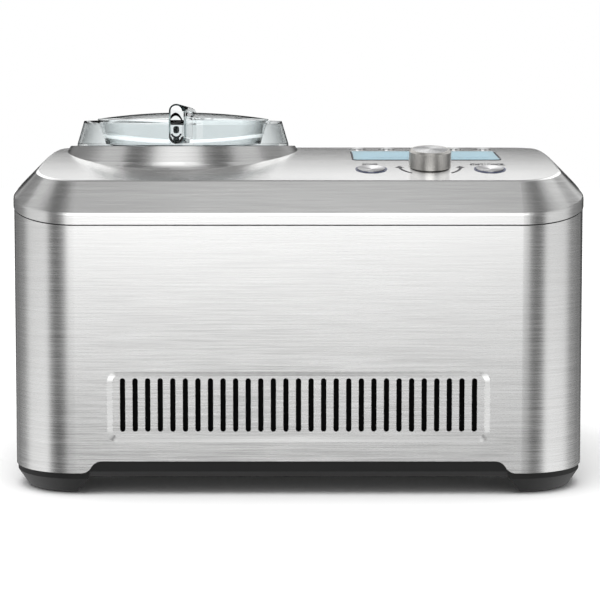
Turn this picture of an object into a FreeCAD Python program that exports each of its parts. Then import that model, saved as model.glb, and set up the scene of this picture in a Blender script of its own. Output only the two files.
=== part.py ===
import FreeCAD, Part
import math
import os

V = FreeCAD.Vector

# Driving dimensions in millimetres. Front is -Y, right is +X, the floor is Z = 0.

# Casing
hood_width = 396.0
hood_depth = 272.0
corner_radius = 48.0
crown_top = 232.4
crown_radius = 584.0
crown_run = 170.6
hood_height = 24.2
hood_chamfer = 17.0
hood_edge_radius = 3.0
hood_wall = 2.4
wrap_step = 0.5
sheet = 1.0
seam_gap = 1.0
gasket_step = 0.7
gasket_width = 4.0

# Base
skirt_clearance = 0.05
tray_wall = 2.5
tray_floor = 3.0
belly_height = 12.0
belly_chamfer = 4.0
foot_width = 47.4
foot_slope = 9.1
foot_lift = 1.0
foot_chamfer_in = 6.5
foot_chamfer_height = 10.0
pad_radius = 10.0
pad_depth = 2.0
pad_inset = 32.0
wrap_bottom = 14.9
arch_rise = 8.2
arch_margin = 51.5
arch_run = 14.0
plate_thickness = 2.0
plate_margin = 9.0
base_screw_radius = 2.0
base_screw_head = 4.0
base_screw_inset = 62.0
base_screw_recess = 1.5

# Air intake
vent_margin = 69.35
vent_height = 47.9
vent_bottom = 36.1
vent_corner = 7.0
vent_bevel = 3.5
vent_depth = 2.5
vent_flange = 6.0
slot_width = 3.6
slot_height = 36.3
slot_margin = 10.252
slot_count = 29
slot_rise = 6.7

# Rear panel
rear_panel_gap = 4.0
rear_window_bottom = 46.0
rear_window_top = 188.0
rear_window_corner = 8.0
rear_overlap = 8.0
exhaust_count = 15
exhaust_pitch = 9.0
exhaust_width = 4.0
exhaust_height = 60.0
exhaust_margin = 4.0
exhaust_z = 115.0
gland_inset = 20.0
gland_z = 66.0
gland_flange_radius = 11.0
gland_flange_thickness = 1.2
gland_neck_radius = 8.0
gland_neck_length = 9.0
gland_bore_radius = 3.6
rear_screw_radius = 1.5
rear_screw_head = 2.8
rear_screw_head_height = 0.8
rear_screw_length = 5.0

# Collar, lid, bowl and cooling chamber, all round one upright axis
bowl_offset = 12.4
rim_rise = 2.1
rim_land = 4.5
collar_flare = 6.0
collar_drop = 11.0
collar_sweep = 8.0
collar_sweep_drop = 8.0
collar_hollow = 0.12
ledge_width = 3.5
collar_tube_wall = 3.0
collar_tube_depth = 17.5
ledge_depth = 1.2
bowl_rim_gap = 1.0
bowl_wall = 2.0
bowl_depth = 104.0
bowl_draft = 1.5
bowl_rim_width = 5.0
bowl_rim_thickness = 2.5
bowl_rim_drop = 8.5
chimney_wall = 2.0
chimney_height = 28.0
lift_clearance = 0.5
rest_gap = 0.1
chamber_wall = 2.5
chamber_flange = 15.5
seal_height = 2.5
coil_tube_radius = 3.0
coil_turns = 5
header_angle = 35.0
liquid_angle = 60.0
foam_clearance = 0.5
foam_wall = 13.5
foam_floor = 30.0
post_radius = 6.0
post_inset = 11.0
post_first_angle = 55.0
post_count = 3

# Lid
lid_plug_gap = 1.4
lid_plug_wall = 2.6
lid_plug_depth = 4.8
lid_base_radius = 79.0
lid_edge_gap = 0.5
lid_flange_height = 2.6
lid_skirt_taper = 5.0
lid_skirt_height = 17.0
lid_wall = 2.4
lid_land = 8.0
lid_cap_gap = 2.0
lid_cap_edge_rise = 1.5
lid_cap_crown = 4.9
lid_cap_skirt = 17.9
lid_cap_saddle = 4.0
lid_cap_taper = 7.0
spine_width = 10.4
spine_height = 28.4
spine_front_gap = 6.0
spine_back_gap = 4.0
hinge_radius = 2.5
hinge_pin_radius = 1.5
hinge_gap = 0.5
hinge_end_gap = 14.5
hinge_lug_width = 4.0
running_clearance = 0.05
lid_seal_width = 1.1
lid_seal_height = 3.0

# Paddle
paddle_hub_wall = 4.0
paddle_hub_clearance = 0.7
paddle_gap = 2.0
paddle_height = 74.0
paddle_thickness = 5.0
paddle_frame = 9.0
socket_wall = 8.0

# Drive
shaft_radius = 6.0
drive_square = 8.0
drive_square_length = 7.0
drive_clearance = 0.3
gear_pressure = 25.0
gear_addendum = 0.9
gear_dedendum = 1.2
gear_backlash = 0.3
drive_teeth = 50
idler_small_teeth = 12
idler_large_teeth = 42
pinion_teeth = 12
gear_line_angle = -20.0
gear_face = 8.0
gear_gap = 3.0
gearbox_wall = 3.0
gearbox_margin = 4.0
gearbox_gap = 5.0
idler_pin_radius = 4.0
bush_radius = 11.0
bush_length = 10.0
motor_radius = 21.0
motor_clearance = 2.0
motor_height = 58.0
motor_shaft_radius = 4.0
motor_boss_radius = 9.0
gearbox_foot_radius = 5.0
seal_radius = 10.0

# Cold circuit
compressor_inset = 90.2
compressor_y = 45.0
compressor_radius = 52.0
compressor_height = 112.0
compressor_plate = 2.5
compressor_seam = 3.0
compressor_seam_level = 0.55
grommet_radius = 8.0
grommet_height = 10.0
grommet_x = 46.0
grommet_y = 40.0
condenser_inset = 106.0
condenser_width = 124.0
condenser_depth = 22.0
condenser_height = 112.0
condenser_front_gap = 8.0
fin_count = 14
fin_thickness = 0.8
condenser_rows = 4
condenser_tube_radius = 3.5
fan_radius = 44.0
fan_hub_radius = 13.0
fan_depth = 11.0
fan_root_chord = 14.3
fan_tip_chord = 20.9
fan_root_pitch = 40.0
fan_tip_pitch = 22.0
fan_blade_count = 5
fan_tip_gap = 2.0
shroud_thickness = 2.0
shroud_depth = 17.0
fan_motor_radius = 17.0
fan_motor_length = 22.0
fan_shaft_radius = 2.0
line_radius = 3.0
line_bend = 12.0
drier_radius = 8.0
drier_length = 64.0

# Control panel
panel_offset = 25.7
control_run = 45.0
knob_run = 51.0
knob_radius = 14.7
knob_height = 12.1
knob_lift = 0.6
knob_wall = 2.0
knob_cap_radius = 12.2
knob_cap_depth = 1.2
encoder_shaft_radius = 3.0
encoder_bushing_radius = 4.5
encoder_body = 12.0
main_button_radius = 9.6
main_button_spread = 41.2
button_height = 0.8
button_dish = 0.7
button_travel = 1.2
button_side_gap = 0.3
ring_width = 1.2
mode_button_radius = 6.0
mode_button_height = 1.0
mode_run = 139.0
mode_inner = 25.3
mode_outer = 47.3
window_run = 97.5
window_width = 105.0
window_length = 44.0
window_corner = 3.0
window_thickness = 2.0
window_ledge = 3.0
module_margin = 4.0
board_drop = 18.0
board_width = 136.0
board_length = 119.0
board_thickness = 1.6
board_screw_radius = 1.3
board_screw_head = 2.6
board_boss_radius = 3.4
board_boss_inset = 7.0
power_board_inset = 18.0
power_board_length = 120.0
power_board_height = 92.0
transformer_depth = 14.4
capacitor_length = 10.8
capacitor_radius = 9.0

# Values worked out from the sizes above

front_y = -hood_depth / 2
back_y = hood_depth / 2
apex_y = front_y + crown_run
rim_z = crown_top + rim_rise
skirt_step = wrap_step + sheet + skirt_clearance
tray_height = vent_bottom - vent_flange - lift_clearance
rear_panel_half = hood_width / 2 - corner_radius - rear_panel_gap
rear_window_half = rear_panel_half - rear_overlap
vent_width = hood_width - 2 * vent_margin
slot_pitch = (vent_width - 2 * slot_margin) / (slot_count - 1)
exhaust_x = rear_window_half - exhaust_margin - exhaust_width / 2 - exhaust_pitch * (exhaust_count - 1) / 2
gland_x = gland_inset - rear_window_half
bowl_x = bowl_offset - hood_width / 4
panel_x = hood_width / 6 + panel_offset
compressor_x = hood_width / 2 - compressor_inset
condenser_x = hood_width / 2 - condenser_inset
power_board_x = hood_width / 2 - power_board_inset
tray_floor_top = belly_height + tray_floor
deck_z = tray_floor_top + plate_thickness
ledge_radius = lid_base_radius + lid_edge_gap
rim_radius = ledge_radius + rim_land
collar_bore = ledge_radius - ledge_width
lid_plug_radius = collar_bore - lid_plug_gap
lid_plug_inner = lid_plug_radius - lid_plug_wall
lid_top_radius = lid_base_radius - lid_skirt_taper
lid_land_inner = lid_top_radius - lid_land
lid_cap_radius = lid_land_inner - lid_cap_gap
spine_front = lid_top_radius - spine_front_gap
spine_back = lid_top_radius - spine_back_gap
hinge_barrel_half = lid_cap_radius - hinge_end_gap
bowl_radius = collar_bore - bowl_rim_gap - bowl_rim_width - bowl_wall
bowl_rim_z = rim_z - bowl_rim_drop
bowl_floor_z = bowl_rim_z - bowl_depth
bowl_outer = bowl_radius + bowl_wall
chamber_inner = bowl_outer + lift_clearance
chamber_outer = chamber_inner + chamber_wall
chamber_floor_z = bowl_floor_z - bowl_wall - lift_clearance
chamber_bottom_z = chamber_floor_z - chamber_wall
tube_bottom_z = rim_z - collar_tube_depth
flange_top_z = tube_bottom_z - seal_height
flange_bottom_z = flange_top_z - chamber_wall
coil_radius = chamber_outer + coil_tube_radius
foam_inner = coil_radius + coil_tube_radius + foam_clearance
foam_outer = foam_inner + foam_wall
post_circle = foam_outer - post_inset
gear_teeth = drive_teeth + idler_small_teeth + idler_large_teeth + pinion_teeth
gear_module = 2 * (foam_outer + motor_clearance + motor_radius) / gear_teeth
foam_bottom_z = chamber_bottom_z - foam_floor
gearbox_top_z = foam_bottom_z - gearbox_gap
idler_wheel_z = gearbox_top_z - gearbox_wall - 4 * gear_gap - 2 * gear_face
drive_gear_z = idler_wheel_z + gear_face + gear_gap
gearbox_bottom_z = idler_wheel_z - gear_gap - gearbox_wall
drive_center = (bowl_x, 0.0)


def pitch_radius(teeth):
    """Pitch circle radius of a gear."""
    return gear_module * teeth / 2


def along_gear_line(distance):
    """Point on the line of gear centres, this far from the drive shaft."""
    angle = math.radians(gear_line_angle)
    return (bowl_x + distance * math.cos(angle), distance * math.sin(angle))


idler_distance = pitch_radius(drive_teeth) + pitch_radius(idler_small_teeth)
motor_distance = idler_distance + pitch_radius(idler_large_teeth) + pitch_radius(pinion_teeth)
idler_center = along_gear_line(idler_distance)
motor_center = along_gear_line(motor_distance)

nodes = {}


# Basic shapes


def box(x0, x1, y0, y1, z0, z1):
    """Block between two corners."""
    return Part.makeBox(x1 - x0, y1 - y0, z1 - z0, V(x0, y0, z0))


def post(center, z0, z1, radius):
    """Upright round bar."""
    return Part.makeCylinder(radius, z1 - z0, V(center[0], center[1], z0))


def tube(center, z0, z1, outer, inner):
    """Upright round tube."""
    return post(center, z0, z1, outer).cut(post(center, z0, z1, inner))


def bar_y(x, z, y0, y1, radius):
    """Round bar that runs front to back."""
    return Part.makeCylinder(radius, y1 - y0, V(x, y0, z), V(0, 1, 0))


def bar_x(y, z, x0, x1, radius):
    """Round bar that runs left to right."""
    return Part.makeCylinder(radius, x1 - x0, V(x0, y, z), V(1, 0, 0))


def fuse(shapes):
    """One solid from touching or crossing solids."""
    joined = shapes[0].fuse(shapes[1:]) if len(shapes) > 1 else shapes[0]
    return joined.removeSplitter()


def group(shapes):
    """Several separate solids kept in one node."""
    return Part.makeCompound(shapes)


def rounded_wire(width, length, radius):
    """Rectangle with round corners, centred on the origin in the XY plane."""
    a = width / 2
    b = length / 2
    r = radius
    k = r * (1 - math.sqrt(0.5))
    runs = [(V(-a + r, -b, 0), V(a - r, -b, 0), V(a - k, -b + k, 0), V(a, -b + r, 0)),
            (V(a, -b + r, 0), V(a, b - r, 0), V(a - k, b - k, 0), V(a - r, b, 0)),
            (V(a - r, b, 0), V(-a + r, b, 0), V(-a + k, b - k, 0), V(-a, b - r, 0)),
            (V(-a, b - r, 0), V(-a, -b + r, 0), V(-a + k, -b + k, 0), V(-a + r, -b, 0))]
    edges = []
    for start, end, middle, after in runs:
        edges.append(Part.LineSegment(start, end).toShape())
        edges.append(Part.Arc(end, middle, after).toShape())
    return Part.Wire(edges)


def rounded_block(width, length, radius, z0, z1):
    """Upright prism on a rectangle with round corners."""
    face = Part.Face(rounded_wire(width, length, radius))
    face.translate(V(0, 0, z0))
    return face.extrude(V(0, 0, z1 - z0))


def casing_block(step, z0, z1):
    """Prism on the casing's outline, moved in by step all round."""
    return rounded_block(hood_width - 2 * step, hood_depth - 2 * step, corner_radius - step, z0, z1)


def front_wire(width, height, radius, y, z):
    """Rectangle with round corners that stands facing the front, centred at x = 0."""
    wire = rounded_wire(width, height, radius)
    wire.rotate(V(0, 0, 0), V(1, 0, 0), 90)
    wire.translate(V(0, y, z))
    return wire


def front_block(width, height, radius, y0, y1, z):
    """Prism on such a rectangle, from y0 back to y1."""
    return Part.Face(front_wire(width, height, radius, y0, z)).extrude(V(0, y1 - y0, 0))


def turned(profile, center):
    """Solid of revolution about an upright axis, from (radius, height) points."""
    points = [V(center[0] + r, center[1], z) for r, z in profile]
    face = Part.Face(Part.makePolygon(points + points[:1]))
    return face.revolve(V(center[0], center[1], 0), V(0, 0, 1), 360)


def prism_y(points, y0, y1):
    """Prism that runs front to back on (x, z) points."""
    corners = [V(x, y0, z) for x, z in points]
    return Part.Face(Part.makePolygon(corners + corners[:1])).extrude(V(0, y1 - y0, 0))


def prism_x(points, x0, x1):
    """Prism that runs left to right on (y, z) points."""
    corners = [V(x0, y, z) for y, z in points]
    return Part.Face(Part.makePolygon(corners + corners[:1])).extrude(V(x1 - x0, 0, 0))


def bent_tube(points, bend, radius):
    """Round tube along straight runs joined by tangent arcs."""
    corners = [V(*p) for p in points]
    edges = []
    last = corners[0]
    for before, corner, after in zip(corners, corners[1:], corners[2:]):
        back = (before - corner).normalize()
        ahead = (after - corner).normalize()
        half = back.getAngle(ahead) / 2
        reach = bend / math.tan(half)
        start = corner + back * reach
        end = corner + ahead * reach
        inward = (back + ahead).normalize()
        middle = corner + inward * (bend / math.sin(half) - bend)
        edges.append(Part.LineSegment(last, start).toShape())
        edges.append(Part.Arc(start, middle, end).toShape())
        last = end
    edges.append(Part.LineSegment(last, corners[-1]).toShape())
    path = Part.Wire(edges)
    direction = corners[1] - corners[0]
    section = Part.Wire([Part.Circle(corners[0], direction, radius).toShape()])
    return path.makePipeShell([section], True, True)


# The crowned top surface


def crown_z(y):
    """Height of the top surface: an arc rising from the front, level behind its crest."""
    run = max(0.0, apex_y - y)
    return crown_top - crown_radius + math.sqrt(crown_radius ** 2 - run ** 2)


def crown_tilt(y):
    """Forward lean of the top surface, in degrees."""
    return math.degrees(math.asin(max(0.0, apex_y - y) / crown_radius))


def under_crown(drop):
    """Everything below the top surface lowered by drop."""
    y0 = front_y - corner_radius
    y1 = back_y + corner_radius
    x0 = -hood_width
    middle_y = (y0 + apex_y) / 2
    start = V(x0, y0, crown_z(y0) - drop)
    middle = V(x0, middle_y, crown_z(middle_y) - drop)
    crest = V(x0, apex_y, crown_top - drop)
    end = V(x0, y1, crown_top - drop)
    low = -crown_top
    edges = [Part.Arc(start, middle, crest).toShape(),
             Part.LineSegment(crest, end).toShape(),
             Part.LineSegment(end, V(x0, y1, low)).toShape(),
             Part.LineSegment(V(x0, y1, low), V(x0, y0, low)).toShape(),
             Part.LineSegment(V(x0, y0, low), start).toShape()]
    return Part.Face(Part.Wire(edges)).extrude(V(2 * hood_width, 0, 0))


def panel_place(x, run, drop=0.0):
    """Place on the top surface, with its own Z along the surface normal."""
    y = front_y + run
    turn = FreeCAD.Rotation(V(1, 0, 0), crown_tilt(y))
    return FreeCAD.Placement(V(x, y, crown_z(y)) - turn.multVec(V(0, 0, drop)), turn)


def placed(shape, place):
    """Copy of a shape made at the origin, moved to a place."""
    moved = shape.copy()
    moved.Placement = place.multiply(moved.Placement)
    return moved


def edges_below_crown(shape, drop, slack):
    """Edges that run round the casing this far below the top surface."""
    found = []
    for edge in shape.Edges:
        points = edge.discretize(5)
        level = all(abs(crown_z(p.y) - p.z - drop) < slack for p in points)
        crest = all(abs(p.y - apex_y) < slack for p in points)
        if level and not crest:
            found.append(edge)
    return found


def crowned_block(step, top_drop, bottom_drop, chamfer):
    """Casing outline between two lowered crowns, with its top edge chamfered all round."""
    block = casing_block(step, 0, crown_top + hood_height)
    block = block.common(under_crown(top_drop)).cut(under_crown(bottom_drop))
    return block.makeChamfer(chamfer, edges_below_crown(block, top_drop, rest_gap))


def softened_block():
    """The hood's outside, with both edges of its chamfer rounded."""
    block = crowned_block(0, 0, hood_height, hood_chamfer)
    edges = edges_below_crown(block, 0, rest_gap)
    edges += edges_below_crown(block, hood_chamfer, hood_wall)
    return block.makeFillet(hood_edge_radius, edges)


# Casing pieces


def collar_solid(inset):
    """Filled round collar: straight flare below the rim, then a hollow sweep out to the hood."""
    slant = math.hypot(collar_flare, collar_drop)
    dx = collar_flare / slant
    dz = collar_drop / slant
    rim_r = rim_radius - inset * slant / collar_drop
    top = rim_z - inset
    neck_r = rim_r + collar_flare
    neck_z = rim_z - collar_drop
    foot_r = neck_r + collar_sweep
    foot_z = neck_z - collar_sweep_drop
    middle_r = neck_r + collar_sweep / 2 - collar_hollow * collar_sweep_drop
    middle_z = neck_z - collar_sweep_drop / 2 - collar_hollow * collar_sweep
    floor_z = foot_z - hood_wall
    cx = bowl_x
    start_r = rim_r + inset * dx / dz
    edges = [Part.LineSegment(V(cx, 0, top), V(cx + start_r, 0, top)).toShape(),
             Part.LineSegment(V(cx + start_r, 0, top), V(cx + neck_r, 0, neck_z)).toShape(),
             Part.Arc(V(cx + neck_r, 0, neck_z), V(cx + middle_r, 0, middle_z),
                      V(cx + foot_r, 0, foot_z)).toShape(),
             Part.LineSegment(V(cx + foot_r, 0, foot_z), V(cx + foot_r, 0, floor_z)).toShape(),
             Part.LineSegment(V(cx + foot_r, 0, floor_z), V(cx, 0, floor_z)).toShape(),
             Part.LineSegment(V(cx, 0, floor_z), V(cx, 0, top)).toShape()]
    return Part.Face(Part.Wire(edges)).revolve(V(cx, 0, 0), V(0, 0, 1), 360)


def panel_holes():
    """Cutters for the knob, the buttons and the display."""
    deep = board_drop / 2
    cutters = []
    knob_hole = post((0, 0), -deep, deep, encoder_bushing_radius)
    cutters.append(placed(knob_hole, panel_place(panel_x, knob_run)))
    ring_hole = post((0, 0), -deep, deep, main_button_radius + button_side_gap + ring_width)
    for side in (-1, 1):
        cutters.append(placed(ring_hole, panel_place(panel_x + side * main_button_spread, control_run)))
    mode_hole = post((0, 0), -deep, deep, mode_button_radius + button_side_gap)
    for offset in mode_offsets():
        cutters.append(placed(mode_hole, panel_place(panel_x + offset, mode_run)))
    seat = rounded_block(window_width, window_length, window_corner, -window_thickness, deep)
    sight = rounded_block(window_width - 2 * window_ledge, window_length - 2 * window_ledge,
                          window_corner, -deep, deep)
    cutters.append(placed(fuse([seat, sight]), panel_place(panel_x, window_run)))
    return cutters


def mode_offsets():
    """Sideways places of the four small buttons."""
    return (-mode_outer, -mode_inner, mode_inner, mode_outer)


def board_place():
    """Place of the control board's top face, under the middle of the display."""
    return panel_place(panel_x, window_run, board_drop)


def board_corners():
    """Places of the board's four screws, on the board."""
    a = board_width / 2 - board_boss_inset
    b = board_length / 2 - board_boss_inset
    return [(sx * a, sy * b) for sx in (-1, 1) for sy in (-1, 1)]


def make_hood():
    """Crowned and chamfered cover in one with the drawn collar and the board's posts."""
    outer = fuse([softened_block(), collar_solid(0)])
    inner_chamfer = hood_chamfer - hood_wall * (2 - math.sqrt(2))
    inner = crowned_block(hood_wall, hood_wall, 2 * hood_height, inner_chamfer)
    shell = outer.cut(fuse([inner, collar_solid(hood_wall)]))
    bosses = []
    for spot in board_corners():
        boss = placed(post(spot, 0, board_drop + hood_wall, board_boss_radius), board_place())
        bosses.append(boss.common(under_crown(hood_wall / 2)))
    shell = shell.fuse(bosses)
    cutters = [post((bowl_x, 0), tube_bottom_z, rim_z, collar_bore),
               post((bowl_x, 0), rim_z - ledge_depth, rim_z, ledge_radius)]
    for spot in board_corners():
        cutters.append(placed(post(spot, 0, board_drop / 2, board_screw_radius), board_place()))
    return shell.cut(cutters + panel_holes()).removeSplitter()


def make_collar_liner():
    """Moulded sleeve under the collar's lip that lines the way down to the chamber."""
    return tube(drive_center, tube_bottom_z, rim_z - hood_wall, collar_bore + collar_tube_wall, collar_bore)


def make_seam_gasket():
    """Dark strip in the joint between hood and wrap."""
    strip = casing_block(wrap_step + gasket_step, 0, crown_top)
    strip = strip.cut(casing_block(wrap_step + gasket_step + gasket_width, 0, crown_top))
    return strip.common(under_crown(hood_height)).cut(under_crown(hood_height + seam_gap))


def s_bend(x0, z0, x1, z1):
    """Two equal arcs from one level line to another."""
    dx = x1 - x0
    dz = z1 - z0
    radius = (dx * dx + dz * dz) / (4 * abs(dz))
    quarter = math.atan2(abs(dz), abs(dx))
    side = math.copysign(radius * math.sin(quarter), dx)
    lift = math.copysign(radius * (1 - math.cos(quarter)), dz)
    center_x = (x0 + x1) / 2
    center_z = (z0 + z1) / 2
    first = Part.Arc(V(x0, 0, z0), V(x0 + side, 0, z0 + lift), V(center_x, 0, center_z)).toShape()
    second = Part.Arc(V(center_x, 0, center_z), V(x1 - side, 0, z1 - lift), V(x1, 0, z1)).toShape()
    return [first, second]


def arch_cutter(half_span, reach):
    """Low arch through the bottom edge of the wrap, front to back."""
    low = wrap_bottom
    high = wrap_bottom + arch_rise
    inner = half_span - arch_run
    edges = s_bend(-half_span, low, -inner, high)
    edges.append(Part.LineSegment(V(-inner, 0, high), V(inner, 0, high)).toShape())
    edges += s_bend(inner, high, half_span, low)
    edges.append(Part.LineSegment(V(half_span, 0, low), V(-half_span, 0, low)).toShape())
    cutter = Part.Face(Part.Wire(edges)).extrude(V(0, 2 * reach, 0))
    cutter.translate(V(0, -reach, 0))
    return cutter


def make_body_wrap():
    """Steel sheet round the casing, arched below, cut for the air intake and the rear panel."""
    skin = casing_block(wrap_step, wrap_bottom, crown_top)
    skin = skin.cut(casing_block(wrap_step + sheet, wrap_bottom, crown_top))
    skin = skin.common(under_crown(hood_height + seam_gap))
    side_arch = arch_cutter(hood_depth / 2 - arch_margin, hood_width)
    side_arch.rotate(V(0, 0, 0), V(0, 0, 1), 90)
    intake = front_block(vent_width, vent_height, vent_corner, front_y, front_y + corner_radius / 2,
                         vent_bottom + vent_height / 2)
    window = front_block(2 * rear_window_half, rear_window_top - rear_window_bottom,
                         rear_window_corner, back_y - corner_radius / 2, back_y,
                         (rear_window_top + rear_window_bottom) / 2)
    return skin.cut([arch_cutter(hood_width / 2 - arch_margin, hood_depth), side_arch, intake, window])


def slot(x, z, width, height, y0, y1):
    """Cutter for one round-ended upright slot."""
    half = height / 2 - width / 2
    return fuse([box(x - width / 2, x + width / 2, y0, y1, z - half, z + half),
                 bar_y(x, z - half, y0, y1, width / 2), bar_y(x, z + half, y0, y1, width / 2)])


def make_vent_grille():
    """Pressed intake panel: bevelled border, sunk floor and a row of round-ended slots."""
    face_y = front_y + wrap_step
    middle_z = vent_bottom + vent_height / 2
    floor_y = face_y + vent_depth
    back = floor_y + sheet
    lip = front_block(vent_width, vent_height, vent_corner, face_y, back, middle_z)
    flange = front_block(vent_width + 2 * vent_flange, vent_height + 2 * vent_flange,
                         vent_corner + vent_flange, face_y + sheet, face_y + 2 * sheet, middle_z)
    edge = skirt_clearance
    mouth = front_wire(vent_width - 2 * edge, vent_height - 2 * edge, vent_corner - edge, face_y, middle_z)
    sunk = front_wire(vent_width - 2 * vent_bevel, vent_height - 2 * vent_bevel, vent_corner - vent_bevel,
                      floor_y, middle_z)
    pocket = Part.makeLoft([mouth, sunk], True, True)
    first = -slot_pitch * (slot_count - 1) / 2
    slot_z = vent_bottom + slot_rise + slot_height / 2
    slots = [slot(first + slot_pitch * i, slot_z, slot_width, slot_height, face_y, back + sheet)
             for i in range(slot_count)]
    return fuse([lip, flange]).cut([pocket] + slots)


def rear_screw_places():
    """Screws round the rear window, in the overlap of panel and wrap."""
    a = rear_window_half + rear_overlap / 2
    low = rear_window_bottom - rear_overlap / 2
    high = rear_window_top + rear_overlap / 2
    return [(sx * a, z) for sx in (-1, 1) for z in (low + corner_radius, (low + high) / 2, high - corner_radius)]


def make_rear_panel():
    """Flat panel behind the rear window, with exhaust slots and the hole of the cord gland."""
    outside = back_y - wrap_step - sheet
    height = rear_window_top - rear_window_bottom + 2 * rear_overlap
    middle_z = (rear_window_top + rear_window_bottom) / 2
    panel = front_block(2 * rear_panel_half, height, rear_window_corner, outside - sheet, outside, middle_z)
    first = exhaust_x - exhaust_pitch * (exhaust_count - 1) / 2
    cutters = [slot(first + exhaust_pitch * i, exhaust_z, exhaust_width, exhaust_height,
                    outside - 2 * sheet, outside + sheet) for i in range(exhaust_count)]
    cutters.append(bar_y(gland_x, gland_z, outside - 2 * sheet, outside + sheet, gland_neck_radius))
    cutters += [bar_y(x, z, outside - 2 * sheet, outside + sheet, rear_screw_radius)
                for x, z in rear_screw_places()]
    return panel.cut(cutters)


def make_rear_screws():
    """Pan-head screws that hold the rear panel to the wrap from inside."""
    inside = back_y - wrap_step - 2 * sheet
    screws = []
    for x, z in rear_screw_places():
        shank = bar_y(x, z, inside, inside + sheet, rear_screw_radius)
        head = bar_y(x, z, inside - rear_screw_head_height, inside, rear_screw_head)
        screws.append(fuse([shank, head]))
    return group(screws)


def make_cord_gland():
    """Bush in the rear panel where a mains lead would leave."""
    outside = back_y - wrap_step - sheet
    flange = bar_y(gland_x, gland_z, outside, outside + gland_flange_thickness, gland_flange_radius)
    neck = bar_y(gland_x, gland_z, outside - gland_neck_length, outside, gland_neck_radius)
    bore = bar_y(gland_x, gland_z, outside - gland_neck_length, back_y, gland_bore_radius)
    return fuse([flange, neck]).cut(bore)


# Base pieces


def tunnel(half_span, reach):
    """Space under the belly between two feet, with sloped ends, front to back."""
    inner = half_span - foot_slope
    return prism_y([(-half_span, 0), (half_span, 0), (inner, belly_height), (-inner, belly_height)],
                   -reach, reach)


def pad_places():
    """Middles of the four foot pads."""
    a = hood_width / 2 - pad_inset
    b = hood_depth / 2 - pad_inset
    return [(sx * a, sy * b) for sx in (-1, 1) for sy in (-1, 1)]


def base_screw_places():
    """Screws that hold the chassis plate to the tray."""
    a = hood_width / 2 - base_screw_inset
    b = hood_depth / 2 - base_screw_inset
    return [(sx * a, sy * b) for sx in (-1, 1) for sy in (-1, 1)]


def make_base_tray():
    """Moulded base: chamfered skirt, four corner feet with arches between them, and a walled floor."""
    skirt = casing_block(skirt_step, foot_lift, tray_height)
    low = [e for e in skirt.Edges if abs(e.BoundBox.ZMax - foot_lift) < 0.01]
    skirt = skirt.makeChamfer(foot_chamfer_height, foot_chamfer_in, low)
    inside = casing_block(skirt_step + tray_wall, tray_floor_top, tray_height)
    side_tunnel = tunnel(hood_depth / 2 - foot_width, hood_width)
    side_tunnel.rotate(V(0, 0, 0), V(0, 0, 1), 90)
    tray = skirt.cut([inside, tunnel(hood_width / 2 - foot_width, hood_depth), side_tunnel])
    half = hood_width / 2 - foot_width - foot_slope
    front = front_y + skirt_step
    bevel = [(front, belly_height), (front + belly_chamfer, belly_height), (front, belly_height + belly_chamfer)]
    mirrored = [(-y, z) for y, z in bevel]
    cutters = [prism_x(bevel, -half, half), prism_x(mirrored, -half, half)]
    for spot in pad_places():
        cutters.append(post(spot, 0, foot_lift + pad_depth, pad_radius))
    for spot in base_screw_places():
        cutters.append(post(spot, belly_height, tray_floor_top, base_screw_radius))
        cutters.append(post(spot, belly_height, belly_height + base_screw_recess, base_screw_head))
    return tray.cut(cutters)


def make_foot_pads():
    """Rubber pads let into the feet."""
    return group([post(spot, 0, foot_lift + pad_depth, pad_radius) for spot in pad_places()])


def make_chassis_plate():
    """Steel plate on the tray floor that carries the drive and the cold circuit."""
    step = skirt_step + tray_wall + plate_margin
    plate = casing_block(step, tray_floor_top, deck_z)
    return plate.cut([post(spot, tray_floor_top, deck_z, base_screw_radius) for spot in base_screw_places()])


def make_base_screws():
    """Screws from below through tray floor and plate."""
    screws = []
    for spot in base_screw_places():
        shank = post(spot, belly_height, deck_z, base_screw_radius)
        screws.append(fuse([shank, post(spot, belly_height, belly_height + base_screw_recess, base_screw_head)]))
    return group(screws)


# Bowl and cooling chamber


def make_bowl():
    """Removable cup with a rolled rim and a chimney for the drive shaft."""
    floor = bowl_floor_z
    under = floor - bowl_wall
    low_r = bowl_outer - bowl_draft
    bore = shaft_radius + lift_clearance
    chimney = bore + chimney_wall
    top = floor + chimney_height
    rim_r = bowl_outer + bowl_rim_width
    return turned([(bore, under), (low_r, under), (bowl_outer, bowl_rim_z - bowl_rim_thickness),
                   (rim_r, bowl_rim_z - bowl_rim_thickness), (rim_r, bowl_rim_z),
                   (bowl_radius, bowl_rim_z), (bowl_radius - bowl_draft, floor), (chimney, floor),
                   (chimney, top), (bore, top)], drive_center)


def make_chamber():
    """Fixed cold cup with a flange at its mouth and a hole for the shaft seal."""
    flange_r = chamber_inner + chamber_flange
    return turned([(seal_radius, chamber_bottom_z), (chamber_outer, chamber_bottom_z),
                   (chamber_outer, flange_bottom_z), (flange_r, flange_bottom_z), (flange_r, flange_top_z),
                   (chamber_inner, flange_top_z), (chamber_inner, chamber_floor_z),
                   (seal_radius, chamber_floor_z)], drive_center)


def make_chamber_seal():
    """Soft ring between the chamber flange and the collar's tube."""
    return tube(drive_center, flange_top_z, tube_bottom_z, chamber_inner + chamber_flange, collar_bore)


def coil_bottom_z():
    """Level of the coil's lower end on the chamber wall."""
    return chamber_bottom_z + 3 * coil_tube_radius


def coil_pitch():
    """Rise of the coil in one turn, filling the wall below the flange."""
    return (flange_bottom_z - chamber_bottom_z - 6 * coil_tube_radius) / coil_turns


def coil_height(degrees):
    """Level of the coil's first turn at a direction past its lower end."""
    return coil_bottom_z() + coil_pitch() * (degrees - header_angle) / 360


def on_chamber(radius, degrees):
    """Point round the bowl axis."""
    angle = math.radians(degrees)
    return (bowl_x + radius * math.cos(angle), radius * math.sin(angle))


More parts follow.
